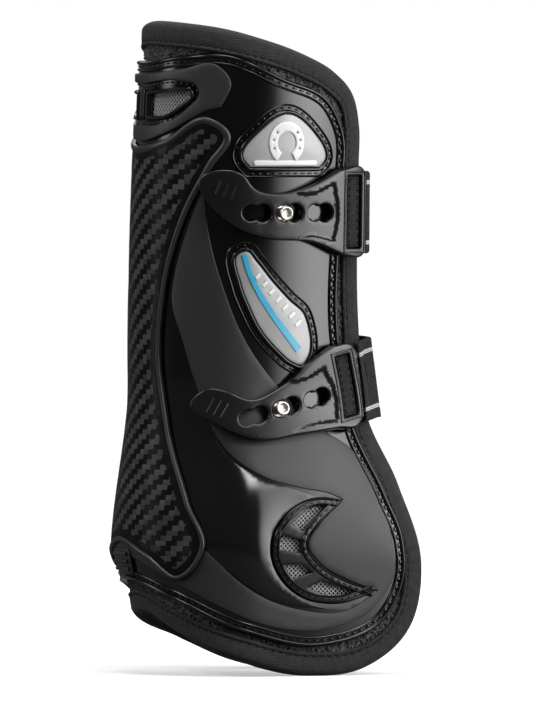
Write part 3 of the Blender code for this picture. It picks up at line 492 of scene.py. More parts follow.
def dome(loop):
    """A depth that swells inside a loop, like a film blown up from behind, and sinks at its back end."""
    low = loop.min(axis=0) - 2
    columns, rows = (np.ceil(loop.max(axis=0) - low) + 3).astype(int)
    spots = low + np.stack(np.meshgrid(np.arange(columns), np.arange(rows)), axis=-1).reshape(-1, 2)
    held = inside([loop], spots).reshape(rows, columns)
    film = np.zeros((rows, columns))
    for _ in range(FILM_STEPS):
        around = sum(np.roll(film, way, axis) for way in (-1, 1) for axis in (0, 1)) / 4
        film = np.where(held, around + 1, 0)
    film = film[..., None] * BULGE_RISE / film.max()
    sunk_girth, full_girth = BULGE_FADE_GIRTHS

    def depth(flat):
        lift = between_cells(film, *np.clip(flat - low, 0, (columns - 2, rows - 2)).T)[:, 0]
        fade = smoothstep((np.abs(flat[:, 0]) - sunk_girth) / (full_girth - sunk_girth))
        return (lift + BULGE_RIM - BULGE_BACK) * fade + BULGE_BACK

    return depth


def lattice(loops, pitch):
    """Evenly spaced points inside the region, clear of its loops."""
    low, high = loops[0].min(axis=0), loops[0].max(axis=0)
    girths, heights = np.meshgrid(np.arange(low[0], high[0], pitch), np.arange(low[1], high[1], pitch))
    girths[1::2] += pitch / 2
    points = np.column_stack([girths.ravel(), heights.ravel()])
    points = points[inside(loops, points)]
    return points[distances(loops, points) > 0.6 * pitch] if len(points) else points


def triangulated(loops, inner):
    """All corners, the loops' first, and the triangles that fill the first loop round the others."""
    points = np.vstack([*loops, inner])
    edges = []
    first = 0
    for loop in loops:
        edges += [(first + i, first + (i + 1) % len(loop)) for i in range(len(loop))]
        first += len(loop)
    corners, _, faces, origins, *_ = delaunay_2d_cdt([Vector(p) for p in points], edges, [], 0, 1e-6)
    index = np.array([origin[0] if origin else -1 for origin in origins])
    added = np.flatnonzero(index < 0)
    index[added] = len(points) + np.arange(len(added))
    corners = np.array([tuple(corner) for corner in corners])
    faces = np.array(faces)
    kept = faces[inside(loops, corners[faces].mean(axis=1))]
    return np.vstack([points, corners[added]]), index[kept]


# ---------------------------------------------------------------- meshes

def make_mesh(name, corners, faces, look, body="boot", flat=None, sharp_angle=40):
    """A named piece from corners in millimetres, riding on a body. Its flat points feed the materials.

    A piece with the name of a CAD node stands for that node.
    """
    mesh = bpy.data.meshes.new(name)
    mesh.from_pydata((np.asarray(corners) * MILLIMETRE).tolist(), [], faces)
    shape = bmesh.new()
    shape.from_mesh(mesh)
    bmesh.ops.recalc_face_normals(shape, faces=shape.faces)
    shape.to_mesh(mesh)
    shape.free()
    if flat is not None:
        stored = mesh.attributes.new("flat", "FLOAT_VECTOR", "POINT")
        vectors = np.column_stack([flat, np.zeros(len(flat))])
        stored.data.foreach_set("vector", vectors.ravel().astype(np.float32))
    mesh.materials.append(LOOKS[look][0])
    mesh.shade_smooth()
    mesh.set_sharp_from_angle(angle=math.radians(sharp_angle))
    made = bpy.data.objects.new(name, mesh)
    bpy.context.scene.collection.objects.link(made)
    if body:
        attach(made, body)
    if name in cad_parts:
        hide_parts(name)
    return made


def skin(
    name, loops, top, bottom, look, edge=0.5, pitch=1.8, extra=None, place=wrap, edge_steps=3,
    bottom_pitch=None, **options,
):
    """A sheet between two depths with a rounded edge along its outline and round its holes."""
    directions = [-1] + [1] * (len(loops) - 1)
    rings, ring_depths = [], []
    for turn in np.linspace(0, math.pi / 2, edge_steps + 1):
        inset = edge * (1 - math.cos(turn))
        ring = np.vstack([grown(loop, way * inset) for loop, way in zip(loops, directions)])
        rings.append(ring)
        ring_depths.append(at(top, ring) - edge * (1 - math.sin(turn)))
    sizes = [len(loop) for loop in loops]
    cuts = np.cumsum(sizes)[:-1]
    top_loops = np.split(rings[-1], cuts)
    inner = lattice(top_loops, pitch)
    if extra is not None:
        extra = extra[inside(top_loops, extra)]
        extra = extra[distances(top_loops, extra) > 0.25]
        inner = np.vstack([inner, extra])
    top_points, top_faces = triangulated(top_loops, inner)
    bottom_points, bottom_faces = triangulated(loops, lattice(loops, bottom_pitch or 3 * pitch))
    count = len(rings[0])
    first_top = count * (edge_steps + 1)
    extra_top = top_points[count:]
    first_bottom = first_top + len(extra_top)
    flat = np.vstack([*rings, extra_top, bottom_points])
    depth = np.concatenate([*ring_depths, at(top, extra_top), at(bottom, bottom_points)])
    last_ring = count * edge_steps

    def top_index(i):
        return np.where(i < count, last_ring + i, first_top + i - count)

    faces = top_index(top_faces).tolist() + (first_bottom + bottom_faces[:, ::-1]).tolist()
    starts = np.concatenate([[0], np.cumsum(sizes)])
    levels = [first_bottom] + [count * step for step in range(edge_steps + 1)]
    for first, size in zip(starts, sizes):
        here = np.arange(first, first + size)
        following = np.roll(here, -1)
        for low, high in zip(levels, levels[1:]):
            faces += np.column_stack([low + here, low + following, high + following, high + here]).tolist()
    return make_mesh(name, place(flat, depth), faces, look, flat=flat, **options)


def tube_faces(rings, sides, closed):
    """Faces of a grid of rings, each with the same number of sides, closed on itself or with end caps."""
    ring = np.arange(rings if closed else rings - 1)
    side = np.arange(sides)
    here, across = np.meshgrid(ring, side, indexing="ij")
    ahead = (here + 1) % rings
    beside = (across + 1) % sides
    corners = [here * sides + across, here * sides + beside, ahead * sides + beside, ahead * sides + across]
    faces = np.stack([corner.ravel() for corner in corners], axis=1).tolist()
    if not closed:
        faces += [list(range(sides))[::-1], [(rings - 1) * sides + i for i in range(sides)]]
    return faces


def sweep(name, path, profile, look, closed=True, scale=1.0, place=wrap, ripple=None, **options):
    """A closed profile of (across, depth) carried along a flat path; scale widens it from point to point."""
    profile = np.asarray(profile, float)
    rings, sides = len(path), len(profile)
    across = profile[None, :, 0] * np.reshape(np.broadcast_to(scale, rings), (-1, 1))
    flat = path[:, None, :] + mitres(path, closed)[:, None, :] * across[:, :, None]
    depth = np.broadcast_to(profile[None, :, 1], (rings, sides)).copy()
    if ripple is not None:
        depth += ripple(rings, sides)
    flat = flat.reshape(-1, 2)
    drawn = np.meshgrid(lengths_along(path), lengths_along(profile), indexing="ij")
    drawn = np.stack(drawn, axis=-1).reshape(-1, 2)
    faces = tube_faces(rings, sides, closed)
    return make_mesh(name, place(flat, depth.ravel()), faces, look, flat=drawn, **options)


def bead(name, path, width, height, base, look, steps=7, **options):
    """A half-round bead along a path, standing on a depth."""
    turn = np.linspace(0, math.pi, steps)
    profile = np.column_stack([width / 2 * np.cos(turn), base + height * np.sin(turn)])
    return sweep(name, path, profile, look, **options)


def stitching(name, path, look, depth, length, gap, radius, **options):
    """Separate stitches round a loop, each a short rounded thread whose ends dip into the cloth."""
    around = np.vstack([path, path[:1]])
    lengths = lengths_along(around)
    count = max(int(lengths[-1] / (length + gap)), 1)
    pitch = lengths[-1] / count
    stations = np.array([-0.5, -0.44, -0.28, 0.0, 0.28, 0.44, 0.5])
    girth = np.array([0.35, 0.75, 1.0, 1.08, 1.0, 0.75, 0.35])
    dip = np.array([0.9, 0.5, 0.15, 0.0, 0.15, 0.5, 0.9])
    sides = 6
    where = (np.arange(count)[:, None] + 0.5) * pitch + stations * length
    where = np.clip(where, 0, lengths[-1]).ravel()
    behind, centre, ahead = [
        np.column_stack([np.interp(where + shift, lengths, around[:, axis]) for axis in (0, 1)])
        for shift in (-0.2, 0, 0.2)
    ]
    along = unit(ahead - behind)
    right = np.column_stack([along[:, 1], -along[:, 0]])
    thickness = np.tile(girth, count) * radius
    turn = full_turn(sides)
    flat = centre[:, None, :] + right[:, None, :] * (thickness[:, None] * np.cos(turn))[:, :, None]
    level = depth - np.tile(dip, count) * radius
    depths = level[:, None] + thickness[:, None] * np.sin(turn)
    flat = flat.reshape(-1, 2)
    one = np.array(tube_faces(len(stations), sides, False)[:-2])
    per = len(stations) * sides
    shifts = np.arange(count) * per
    faces = (one[None] + shifts[:, None, None]).reshape(-1, 4).tolist()
    for shift in shifts.tolist():
        faces.append([shift + i for i in range(sides)])
        faces.append([shift + per - 1 - i for i in range(sides)])
    return make_mesh(name, wrap(flat, depths.ravel()), faces, look, flat=flat, **options)


def wire_cloth(name, loop):
    """Plain-woven wires at 45 degrees, clipped to a loop."""
    pitch, radius = WIRE_PITCH, WIRE_RADIUS
    centre = loop.mean(axis=0)
    reach = float(np.linalg.norm(loop - centre, axis=1).max())
    step = pitch / 4
    count = int(reach / pitch) + 1
    sides = 5
    turn = full_turn(sides)
    corners, flats, faces = [], [], []
    first = 0
    root = math.sqrt(0.5)
    for family, (along, across) in enumerate((((root, root), (-root, root)), ((-root, root), (root, root)))):
        along, across = np.array(along), np.array(across)
        travel = np.arange(-reach, reach, step)
        for line in range(-count, count + 1):
            centres = centre + along * travel[:, None] + across * line * pitch
            within = inside([loop], centres)
            changes = np.flatnonzero(np.diff(np.concatenate([[0], within.astype(int), [0]])))
            for start, end in zip(changes[::2], changes[1::2]):
                if end - start < 4:
                    continue
                run = centres[start:end]
                height = radius * np.cos(math.pi * (travel[start:end] / pitch + line)) * (1 if family else -1)
                flat = run[:, None] + across * (radius * np.cos(turn))[None, :, None]
                level = WIRE_DEPTH + height[:, None] + radius * np.sin(turn)
                corners.append(wrap(flat.reshape(-1, 2), level.ravel()))
                flats.append(flat.reshape(-1, 2))
                faces += [[first + i for i in face] for face in tube_faces(end - start, sides, False)]
                first += (end - start) * sides
    return make_mesh(name, np.vstack(corners), faces, "wire", flat=np.vstack(flats))


def turned(name, profile, girth, height, segments, **options):
    """A nickel piece turned about the way out of the shell, from (radius, depth), or with its sides too."""
    point = np.array([[girth, height]])
    origin = outer_face(point)[0]
    out = outward(point)[0]
    x_axis = unit(np.cross((0, 0, 1), out))
    y_axis = np.cross(out, x_axis)
    turn = full_turn(segments)
    rings = []
    for radius, depth, *sides in profile:
        reach = radius
        if sides:
            sector = 2 * math.pi / sides[0]
            reach = radius / np.cos(turn % sector - sector / 2)
        ring = origin + out * depth
        rings.append(ring + np.outer(reach * np.cos(turn), x_axis) + np.outer(reach * np.sin(turn), y_axis))
    faces = tube_faces(len(rings), segments, False)
    return make_mesh(name, np.vstack(rings), faces, "nickel", **options)


# ---------------------------------------------------------------- materials

def put(tree, socket, value):
    """Links an output to an input, or sets the input's value."""
    if isinstance(value, bpy.types.NodeSocket):
        tree.links.new(value, socket)
    else:
        socket.default_value = value


def add(tree, kind, inputs=None, **settings):
    made = tree.nodes.new(kind)
    for key, value in settings.items():
        setattr(made, key, value)
    for key, value in (inputs or {}).items():
        put(tree, made.inputs[key], value)
    return made


def maths(tree, operation, *values):
    made = add(tree, "ShaderNodeMath", dict(enumerate(values)), operation=operation)
    return made.outputs[0]


def mapped(tree, value, low, high, new_low, new_high):
    """A value's range changed, and kept within the new one."""
    inputs = {0: value, 1: low, 2: high, 3: new_low, 4: new_high}
    return add(tree, "ShaderNodeMapRange", inputs).outputs[0]


def mixed(tree, factor, first, second):
    made = add(tree, "ShaderNodeMix", {0: factor}, data_type="RGBA")
    put(tree, made.inputs[6], first)
    put(tree, made.inputs[7], second)
    return made.outputs[2]


def grey(value):
    return (value, value, value, 1)


def noise(tree, scale, detail, vector=None):
    """Noise over the row frame, in metres, or over another vector."""
    if vector is None:
        vector = add(tree, "ShaderNodeTexCoord").outputs["Object"]
    return add(tree, "ShaderNodeTexNoise", {"Vector": vector, "Scale": scale, "Detail": detail}).outputs[0]


def flat_axes(tree):
    """The stored flat points, as a vector and its first two numbers, in millimetres."""
    vector = add(tree, "ShaderNodeAttribute", attribute_name="flat").outputs["Vector"]
    parts = add(tree, "ShaderNodeSeparateXYZ", {0: vector})
    return vector, parts.outputs[0], parts.outputs[1]


def new_look(name, **values):
    """A material and its Principled shader, with input values by name."""
    made = bpy.data.materials.new(name)
    made.use_nodes = True
    tree = made.node_tree
    shader = tree.nodes["Principled BSDF"]
    for key, value in values.items():
        put(tree, shader.inputs[key.replace("_", " ")], value)
    return made, tree, shader


def bumped(tree, shader, height, distance):
    """Bump whose full height is a distance in metres."""
    made = add(tree, "ShaderNodeBump", {"Height": height, "Distance": distance, "Strength": 1.0})
    put(tree, shader.inputs["Normal"], made.outputs[0])


def moulded_look(name, base, roughness, grain, grain_scale):
    """Moulded plastic: fine grain, cloudy gloss, and edges rubbed a little lighter."""
    made, tree, shader = new_look(name)
    cloud = noise(tree, 45, 5)
    fine = noise(tree, grain_scale, 2)
    rubbed = mapped(tree, add(tree, "ShaderNodeNewGeometry").outputs["Pointiness"], 0.52, 0.60, 0, 1)
    worn = maths(tree, "MULTIPLY", rubbed, mapped(tree, noise(tree, 260, 6), 0.42, 0.62, 0, 0.55))
    cloudy = mixed(tree, cloud, grey(base * 0.93), grey(base * 1.07))
    put(tree, shader.inputs["Base Color"], mixed(tree, worn, cloudy, grey(base * 1.4 + 0.004)))
    scuffs = mapped(tree, noise(tree, 700, 8), 0.55, 0.8, 0, 0.05)
    level = mapped(tree, cloud, 0.3, 0.7, roughness * 0.93, roughness * 1.07)
    put(tree, shader.inputs["Roughness"], maths(tree, "ADD", level, scuffs))
    bumped(tree, shader, fine, grain)
    return made


def clouded_look(name, low, high, cloud_scale, roughness, grain, grain_scale, detail=2, **values):
    """A colour and a gloss that drift together between two ends, over a fine grain."""
    made, tree, shader = new_look(name, **values)
    cloud = noise(tree, cloud_scale, 4)
    put(tree, shader.inputs["Base Color"], mixed(tree, cloud, low, high))
    put(tree, shader.inputs["Roughness"], mapped(tree, cloud, 0.3, 0.7, *roughness))
    bumped(tree, shader, noise(tree, grain_scale, detail), grain)
    return made


def carbon_look():
    """A 2 by 2 twill of flat fibre tows under clear plastic; the tows lie along or across by turns."""
    made, tree, shader = new_look("carbon_weave", Coat_Weight=0.06, Coat_Roughness=0.2)
    _, girth, height = flat_axes(tree)
    column = maths(tree, "DIVIDE", girth, TOW_GIRTH)
    row = maths(tree, "DIVIDE", height, TOW_HEIGHT)
    step = maths(tree, "SUBTRACT", maths(tree, "FLOOR", column), maths(tree, "FLOOR", row))
    over = maths(tree, "LESS_THAN", maths(tree, "FLOORED_MODULO", step, 4.0), 1.5)
    fibre_up = maths(tree, "SINE", maths(tree, "MULTIPLY", girth, 26.0))
    fibre_across = maths(tree, "SINE", maths(tree, "MULTIPLY", height, 26.0))
    fibre = add(tree, "ShaderNodeMix", {0: over, 2: fibre_across, 3: fibre_up}).outputs[0]
    cell = add(tree, "ShaderNodeCombineXYZ", {0: maths(tree, "FLOOR", column), 1: maths(tree, "FLOOR", row)})
    random_shade = add(tree, "ShaderNodeTexWhiteNoise", {"Vector": cell.outputs[0]}).outputs[0]
    pale = mixed(tree, random_shade, grey(0.012), grey(0.056))
    dark = mixed(tree, random_shade, grey(0.001), grey(0.003))
    weave = mixed(tree, over, dark, pale)
    inset = add(tree, "ShaderNodeAttribute", attribute_name="inset").outputs["Fac"]
    jitter = maths(tree, "MULTIPLY", random_shade, 0.8)
    shown = maths(tree, "GREATER_THAN", maths(tree, "SUBTRACT", inset, jitter), TWILL_MARGIN)
    put(tree, shader.inputs["Base Color"], mixed(tree, shown, grey(0.006), weave))
    rough = add(tree, "ShaderNodeMix", {0: over, 2: 0.30, 3: 0.42}).outputs[0]
    put(tree, shader.inputs["Roughness"], rough)
    gleam = add(tree, "ShaderNodeMix", {0: maths(tree, "MULTIPLY", over, shown), 2: 0.06, 3: 0.42}).outputs[0]
    put(tree, shader.inputs["Specular IOR Level"], gleam)
    bumped(tree, shader, maths(tree, "MULTIPLY", fibre, shown), 0.00002)
    return made


def cloth_look(name, base, rib, relief, sheen=0.06, slant=0.0, stripe=None):
    """Knitted or woven tape: fine ribs along its first flat axis, crossed threads with painted shade in their
    valleys, and a soft sheen.
    """
    made, tree, shader = new_look(name, Roughness=0.82, Sheen_Weight=sheen, Sheen_Roughness=0.45)
    put(tree, shader.inputs["Specular IOR Level"], 0.25)
    vector, along, across = flat_axes(tree)
    slanted = maths(tree, "ADD", across, maths(tree, "MULTIPLY", along, slant))
    ribs = maths(tree, "SINE", maths(tree, "MULTIPLY", slanted, 2 * math.pi / rib))
    threads = maths(tree, "SINE", maths(tree, "MULTIPLY", along, 2 * math.pi / (rib * 0.8)))
    weave = maths(tree, "MULTIPLY_ADD", ribs, 0.7, maths(tree, "MULTIPLY", threads, 0.3))
    # painted shade: the colour is darker in the valleys of the ribs and threads and lighter on their crowns,
    # following the bump; the light stripe gets the same painted shade
    painted_shade = mapped(tree, weave, -1, 1, 0, 1)
    patchy = mapped(tree, noise(tree, 0.35, 4, vector), 0.3, 0.7, 0.75, 1.25)
    low = mixed(tree, painted_shade, grey(base * 0.55), grey(base * 1.4))
    result = add(tree, "ShaderNodeVectorMath", {0: low, 1: patchy}, operation="MULTIPLY").outputs[0]
    if stripe:
        distance = maths(tree, "ABSOLUTE", across)
        above = maths(tree, "GREATER_THAN", distance, stripe[0])
        below = maths(tree, "LESS_THAN", distance, stripe[1])
        light = mixed(tree, painted_shade, grey(0.30), grey(0.62))
        result = mixed(tree, maths(tree, "MULTIPLY", above, below), result, light)
    put(tree, shader.inputs["Base Color"], result)
    fluff = mapped(tree, noise(tree, 6.0, 5, vector), 0.3, 0.7, -0.35, 0.35)
    bumped(tree, shader, maths(tree, "ADD", weave, fluff), relief)
    return made


def air_mesh_look():
    """Open knitted spacer fabric, with painted shade: its pores between the loops are coloured near black."""
    made, tree, shader = new_look("spacer_fabric", Roughness=0.7, Sheen_Weight=0.05)
    vector, _, _ = flat_axes(tree)
    inputs = {"Vector": vector, "Scale": 0.95, "Randomness": 0.85}
    pores = add(tree, "ShaderNodeTexVoronoi", inputs).outputs[0]
    # painted shade: near black in the pores between the loops, where the openings would lie in shade
    painted_shade = mapped(tree, pores, 0.15, 0.75, 1, 0)
    put(tree, shader.inputs["Base Color"], mixed(tree, painted_shade, grey(0.105), grey(0.002)))
    bumped(tree, shader, maths(tree, "ADD", pores, noise(tree, 3.0, 5, vector)), 0.0005)
    return made


def metal_look(name, colour, roughness):
    """Plated metal with turning marks and a few dull spots."""
    made, tree, shader = new_look(name, Metallic=1.0)
    spots = mapped(tree, noise(tree, 1500, 6), 0.5, 0.7, 0, 1)
    dull = tuple(channel * 0.55 for channel in colour[:3]) + (1,)
    put(tree, shader.inputs["Base Color"], mixed(tree, spots, colour, dull))
    put(tree, shader.inputs["Roughness"], mapped(tree, spots, 0, 1, roughness, roughness + 0.2))
    bumped(tree, shader, noise(tree, 7000, 2), 0.00001)
    return made


def badge_look():
    """Satin silver plastic with fine flakes."""
    made, tree, shader = new_look("badge_silver", Metallic=0.25)
    place = add(tree, "ShaderNodeTexCoord").outputs["Object"]
    flakes = add(tree, "ShaderNodeTexVoronoi", {"Vector": place, "Scale": 5200.0})
    cloud = noise(tree, 60, 3)
    base = mixed(tree, cloud, grey(0.32), grey(0.37))
    sparkle = mapped(tree, flakes.outputs["Color"], 0.55, 1.0, 0, 0.25)
    put(tree, shader.inputs["Base Color"], mixed(tree, sparkle, base, grey(0.60)))
    put(tree, shader.inputs["Roughness"], mapped(tree, cloud, 0.3, 0.7, 0.32, 0.46))
    bumped(tree, shader, flakes.outputs["Distance"], 0.00001)
    return made


def wire_look():
    ends = grey(0.72), grey(0.95)
    return clouded_look("wire_mesh", *ends, 900, (0.26, 0.45), 0.00002, 9000, Metallic=0.4)


def enamel_look(name, colour):
    darker = tuple(channel * 0.82 for channel in colour) + (1,)
    return clouded_look(name, darker, (*colour, 1), 400, (0.28, 0.42), 0.00001, 5000, Coat_Weight=0.3)


def gel_look():
    """Soft tinted gel, slightly see-through."""
    return clouded_look(
        "gel", (0.02, 0.035, 0.05, 1), (0.045, 0.07, 0.09, 1), 80, (0.28, 0.42), 0.00004, 2200, 3,
        Transmission_Weight=0.12, IOR=1.42, Subsurface_Weight=0.3, Subsurface_Radius=(0.004, 0.006, 0.008),
    )


# Every look, with the material slot of the record that it belongs to.
LOOKS = {
    "gloss": (moulded_look("gloss_tpu", 0.0025, 0.15, 0.000002, 2600), "gloss_tpu"),
    "satin": (moulded_look("satin_tpu", 0.020, 0.46, 0.00002, 4200), "satin_tpu"),
    "strap": (moulded_look("strap_tpu", 0.006, 0.24, 0.000006, 3800), "satin_tpu"),
    "carbon": (carbon_look(), "carbon_weave"),
    "bead": (moulded_look("bead_tpu", 0.022, 0.34, 0.00001, 3600), "satin_tpu"),
    "silver": (badge_look(), "badge_silver"),
    "white": (enamel_look("emblem_white", (0.86, 0.86, 0.87)), "badge_silver"),
    "blue": (enamel_look("emblem_blue", (0.03, 0.42, 0.66)), "badge_silver"),
    "wire": (wire_look(), "wire_mesh"),
    "nickel": (metal_look("nickel", (0.74, 0.70, 0.63, 1), 0.30), "nickel"),
    "gel": (gel_look(), "gel"),
    "neoprene": (cloth_look("neoprene", 0.012, 0.6, 0.000052), "neoprene"),
    "spacer": (air_mesh_look(), "neoprene"),
    "binding": (cloth_look("binding_tape", 0.032, 0.75, 0.000072, slant=0.22), "binding_tape"),
    "thread": (cloth_look("thread", 0.008, 0.35, 0.000062, sheen=0.04, slant=0.5), "binding_tape"),
    "elastic": (cloth_look("elastic_web", 0.022, 1.0, 0.000092, stripe=ELASTIC_STRIPE), "elastic_web"),
}


# ---------------------------------------------------------------- the boot

def shell_outline():
    return smooth_curve(both_sides(SHELL_HALF))


def lining_outline(spacing=1.1):
    return smooth_curve(both_sides(LINING_HALF), spacing)


def strap_height(strap, girth):
    """Height of a strap's centre line, which on the lower strap drops towards the back on both sides."""
    return STUD_HEIGHTS[strap] + (np.abs(girth) - STUD_GIRTH) * math.tan(STRAP_TILTS[strap])


def rivet_places(strap):
    middle = float(strap_height(strap, RIVET_GIRTH))
    return ((RIVET_GIRTH, middle + RIVET_SPREAD), (RIVET_GIRTH, middle - RIVET_SPREAD))


def make_shell():
    """The glossy shell, its folded flange with a stitched groove, and the matte faces moulded on it."""
    outline = shell_outline()
    top_vent = smooth_curve(TOP_VENT)
    crescent = smooth_curve(CRESCENT)
    holes = [top_vent, mirrored(top_vent), crescent, mirrored(crescent)]
    holes += [circle(STUD_GIRTH, height, STUD_HOLE) for height in STUD_HEIGHTS.values()]
    for strap in STUD_HEIGHTS:
        holes += [circle(*place, RIVET_HOLE) for place in rivet_places(strap)]
    skin("outer_shell", [outline, *holes], *SHELL, "gloss", edge=0.7, pitch=2.0)
    for part, inset, width, height in FLANGE_BEADS:
        bead(f"flange_bead_{part}", grown(outline, -inset), width, height, 0.03, "gloss")
    stitch_line = grown(outline, -FLANGE_STITCH_INSET)
    stitching("flange_stitching", stitch_line, "gloss", 0.22, 2.4, 1.0, 0.36)
    matte = smooth_curve(both_sides(MATTE_HALF))
    skin("matte_side_faces", [matte], *MATTE, "satin", edge=0.32, pitch=2.2)
    for side, loop in outer_and_inner(smooth_curve(BULGE)):
        skin(f"fetlock_bulge_{side}", [loop], dome(loop), BULGE_BOTTOM, "gloss", edge=0.2, pitch=1.3)


def make_carbon_panel():
    """The back panel: a plain border bead round a field of twill whose tows stand up from it."""
    outline = smooth_curve(both_sides(CARBON_HALF))
    field = [grown(outline, -TWILL_MARGIN)]
    girths = np.arange(-19, 20) * TOW_GIRTH
    columns = (girths[:, None] + TOW_GIRTH * np.array([0.04, 0.35, 0.65, 0.96])).ravel()
    rows = (np.arange(18, 112)[:, None] * TOW_HEIGHT + TOW_HEIGHT * np.array([0.05, 0.5, 0.95])).ravel()
    grid = np.stack(np.meshgrid(columns, rows), axis=-1).reshape(-1, 2)
    grid = grid[inside(field, grid)]

    def tows(flat):
        column, row = flat[:, 0] / TOW_GIRTH, flat[:, 1] / TOW_HEIGHT
        phase = (np.floor(column) - np.floor(row)) % 4
        crown = np.where(phase < 1.5, 1 - (2 * (column % 1) - 1) ** 2, 1 - (2 * (row % 1) - 1) ** 2)
        held = inside(field, flat)
        return PANEL[0] + TOW_CROWN * held * crown

    panel = skin(
        "carbon_back_panel", [outline], tows, PANEL[1], "carbon", edge=0.5, pitch=2.4, extra=grid,
        bottom_pitch=5.0, sharp_angle=60,
    )
    flat = np.zeros(len(panel.data.vertices) * 3, np.float32)
    panel.data.attributes["flat"].data.foreach_get("vector", flat)
    inset = panel.data.attributes.new("inset", "FLOAT", "POINT")
    inset.data.foreach_set("value", distances([outline], flat.reshape(-1, 3)[:, :2]).astype(np.float32))
    path = grown(outline, -1.25)
    low, high = BEAD_SWELLS
    widening = 0.8 + 0.45 * smoothstep((path[:, 1] - low) / (high - low))
    bead("carbon_panel_bead", path, 2.3, 0.95, PANEL[0] - 0.25, "bead", scale=widening, steps=9)


def make_top_panel():
    """The matte panel at the top with its two vents, each in a raised rim inside a stitched groove."""
    outline = smooth_curve(both_sides(TOP_PANEL_HALF))
    groove = smooth_curve(both_sides(VENT_GROOVE_HALF))
    skin("top_vent_panel", [outline, groove], *PANEL, "satin", edge=0.55)
    stitching("vent_groove_stitching", grown(groove, -0.85), "gloss", 0.3, 1.9, 0.9, 0.34)
    pillar = rounded_rectangle((-2.6, 221.8), (2.6, 233.8), 1.2)
    skin("vent_pillar", [pillar], 1.3, 0.05, "gloss", edge=0.6)
    for side, loop in outer_and_inner(smooth_curve(TOP_VENT, 0.8)):
        bead(f"top_vent_rim_{side}", grown(loop, 0.1), 1.9, 1.75, 0.05, "gloss", steps=9)
        wire_cloth(f"top_vent_mesh_{side}", grown(loop, -0.2))


def make_crescents():
    """The fetlock vents: a ribbed grille over wire cloth, and a stitched groove between two beads."""
    crescent = smooth_curve(CRESCENT)
    openings = [smooth_curve(opening, 0.7) for opening in CRESCENT_OPENINGS]
    for side, turn in (("outer", lambda loop: loop), ("inner", mirrored)):
        edge = turn(crescent)
        loops = [grown(edge, -0.1)] + [turn(opening) for opening in openings]
        skin(f"fetlock_vent_grille_{side}", loops, *GRILLE, "strap", edge=0.4, pitch=1.1)
        wire_cloth(f"fetlock_vent_mesh_{side}", grown(edge, -0.5))
        for part, inset, width, height in CRESCENT_BEADS:
            bead(f"crescent_{part}_{side}", grown(edge, -inset), width, height, 0.7, "gloss")
        stitch_line = grown(edge, -CRESCENT_STITCH_INSET)
        stitching(f"crescent_stitching_{side}", stitch_line, "gloss", 0.85, 2.0, 0.9, 0.3)


def make_heel_vent():
    """The small louvred vent low on the centre line of the back."""
    plate = rounded_rectangle((-8.5, 40.5), (8.5, 50.5), 2.0)
    skin("heel_vent", [plate], 1.35, 0.45, "satin", edge=0.4)
    for number, height in enumerate((42.6, 45.5, 48.4)):
        path = smooth_curve([(-7.0, height), (0, height + 0.3), (7.0, height)], 0.7, closed=False)
        bead(f"heel_vent_louvre_{number + 1}", path, 1.7, 1.1, 1.37, "satin", closed=False, steps=8)


def make_badge(name, points, border):
    """A silver badge in a glossy moulded frame, with a stitched groove round it."""
    plate = resampled(grown(smooth_curve(points, 0.9), -border), 0.9, True)

    def crowned(flat):
        return 1.2 + 0.35 * smoothstep(distances([plate], flat) / 7.0)

    skin(name, [plate], crowned, PANEL[1], "silver", edge=0.35, pitch=1.3)
    bead(f"{name}_frame", grown(plate, 0.95), 1.9, 1.5, 0.05, "gloss", steps=9)
    stitching(f"{name}_stitching", grown(plate, 2.65), "gloss", 0.22, 2.2, 1.0, 0.34)
    bead(f"{name}_border", grown(plate, 3.75), 0.9, 0.7, 0.05, "gloss")


def horseshoe(centre, outer, inner, opening_degrees):
    """A plain horseshoe's outline, open at the bottom."""
    start = math.radians(-90 + opening_degrees)
    turn = np.linspace(start, math.pi - start, 40)
    shoe = np.vstack([arc(outer, turn, SHOE_STRETCH), arc(inner, turn[::-1], SHOE_STRETCH)])
    return resampled(shoe + centre, 0.6, True)


def make_emblems():
    """Plain emblems: a horseshoe with nail holes, and a blue sweep with slanted bars."""
    nail_turn = np.radians([-20, 10, 40, 140, 170, 200])
    nails = [circle(*place, 0.5, 10) for place in arc(5.8, nail_turn, SHOE_STRETCH) + SHOE_CENTRE]
    shoe = horseshoe(SHOE_CENTRE, 7.6, 4.1, 32)
    skin("upper_badge_horseshoe", [shoe, *nails], 2.05, 1.4, "white", edge=0.15, pitch=0.8, edge_steps=2)
    bar = rounded_rectangle((56.0, 203.6), (83.5, 205.6), 0.8, 0.5)
    skin("upper_badge_bar", [bar], 1.85, 1.3, "white", edge=0.15, pitch=0.6, edge_steps=2)
    sweep_line = smooth_curve(SIDE_SWEEP, 0.8, closed=False)
    width = 0.75 + 0.5 * np.linspace(0, 1, len(sweep_line))
    profile = [(1.25, 1.62), (1.1, 1.85), (-1.1, 1.85), (-1.25, 1.62)]
    sweep("side_badge_sweep", sweep_line, profile, "blue", closed=False, scale=width)
    for number in range(7):
        along = number / 6
        foot = np.array([57.6, 158.6]) + along * np.array([17.2, -19.0])
        slant = np.array([1.9, 1.8]) * (1 + 0.25 * along)
        path = resampled(np.array([foot, foot + slant]), 0.5, False)
        profile = [(0.75, 1.6), (0.66, 1.82), (-0.66, 1.82), (-0.75, 1.6)]
        sweep(f"side_badge_bar_{number + 1}", path, profile, "white", closed=False)


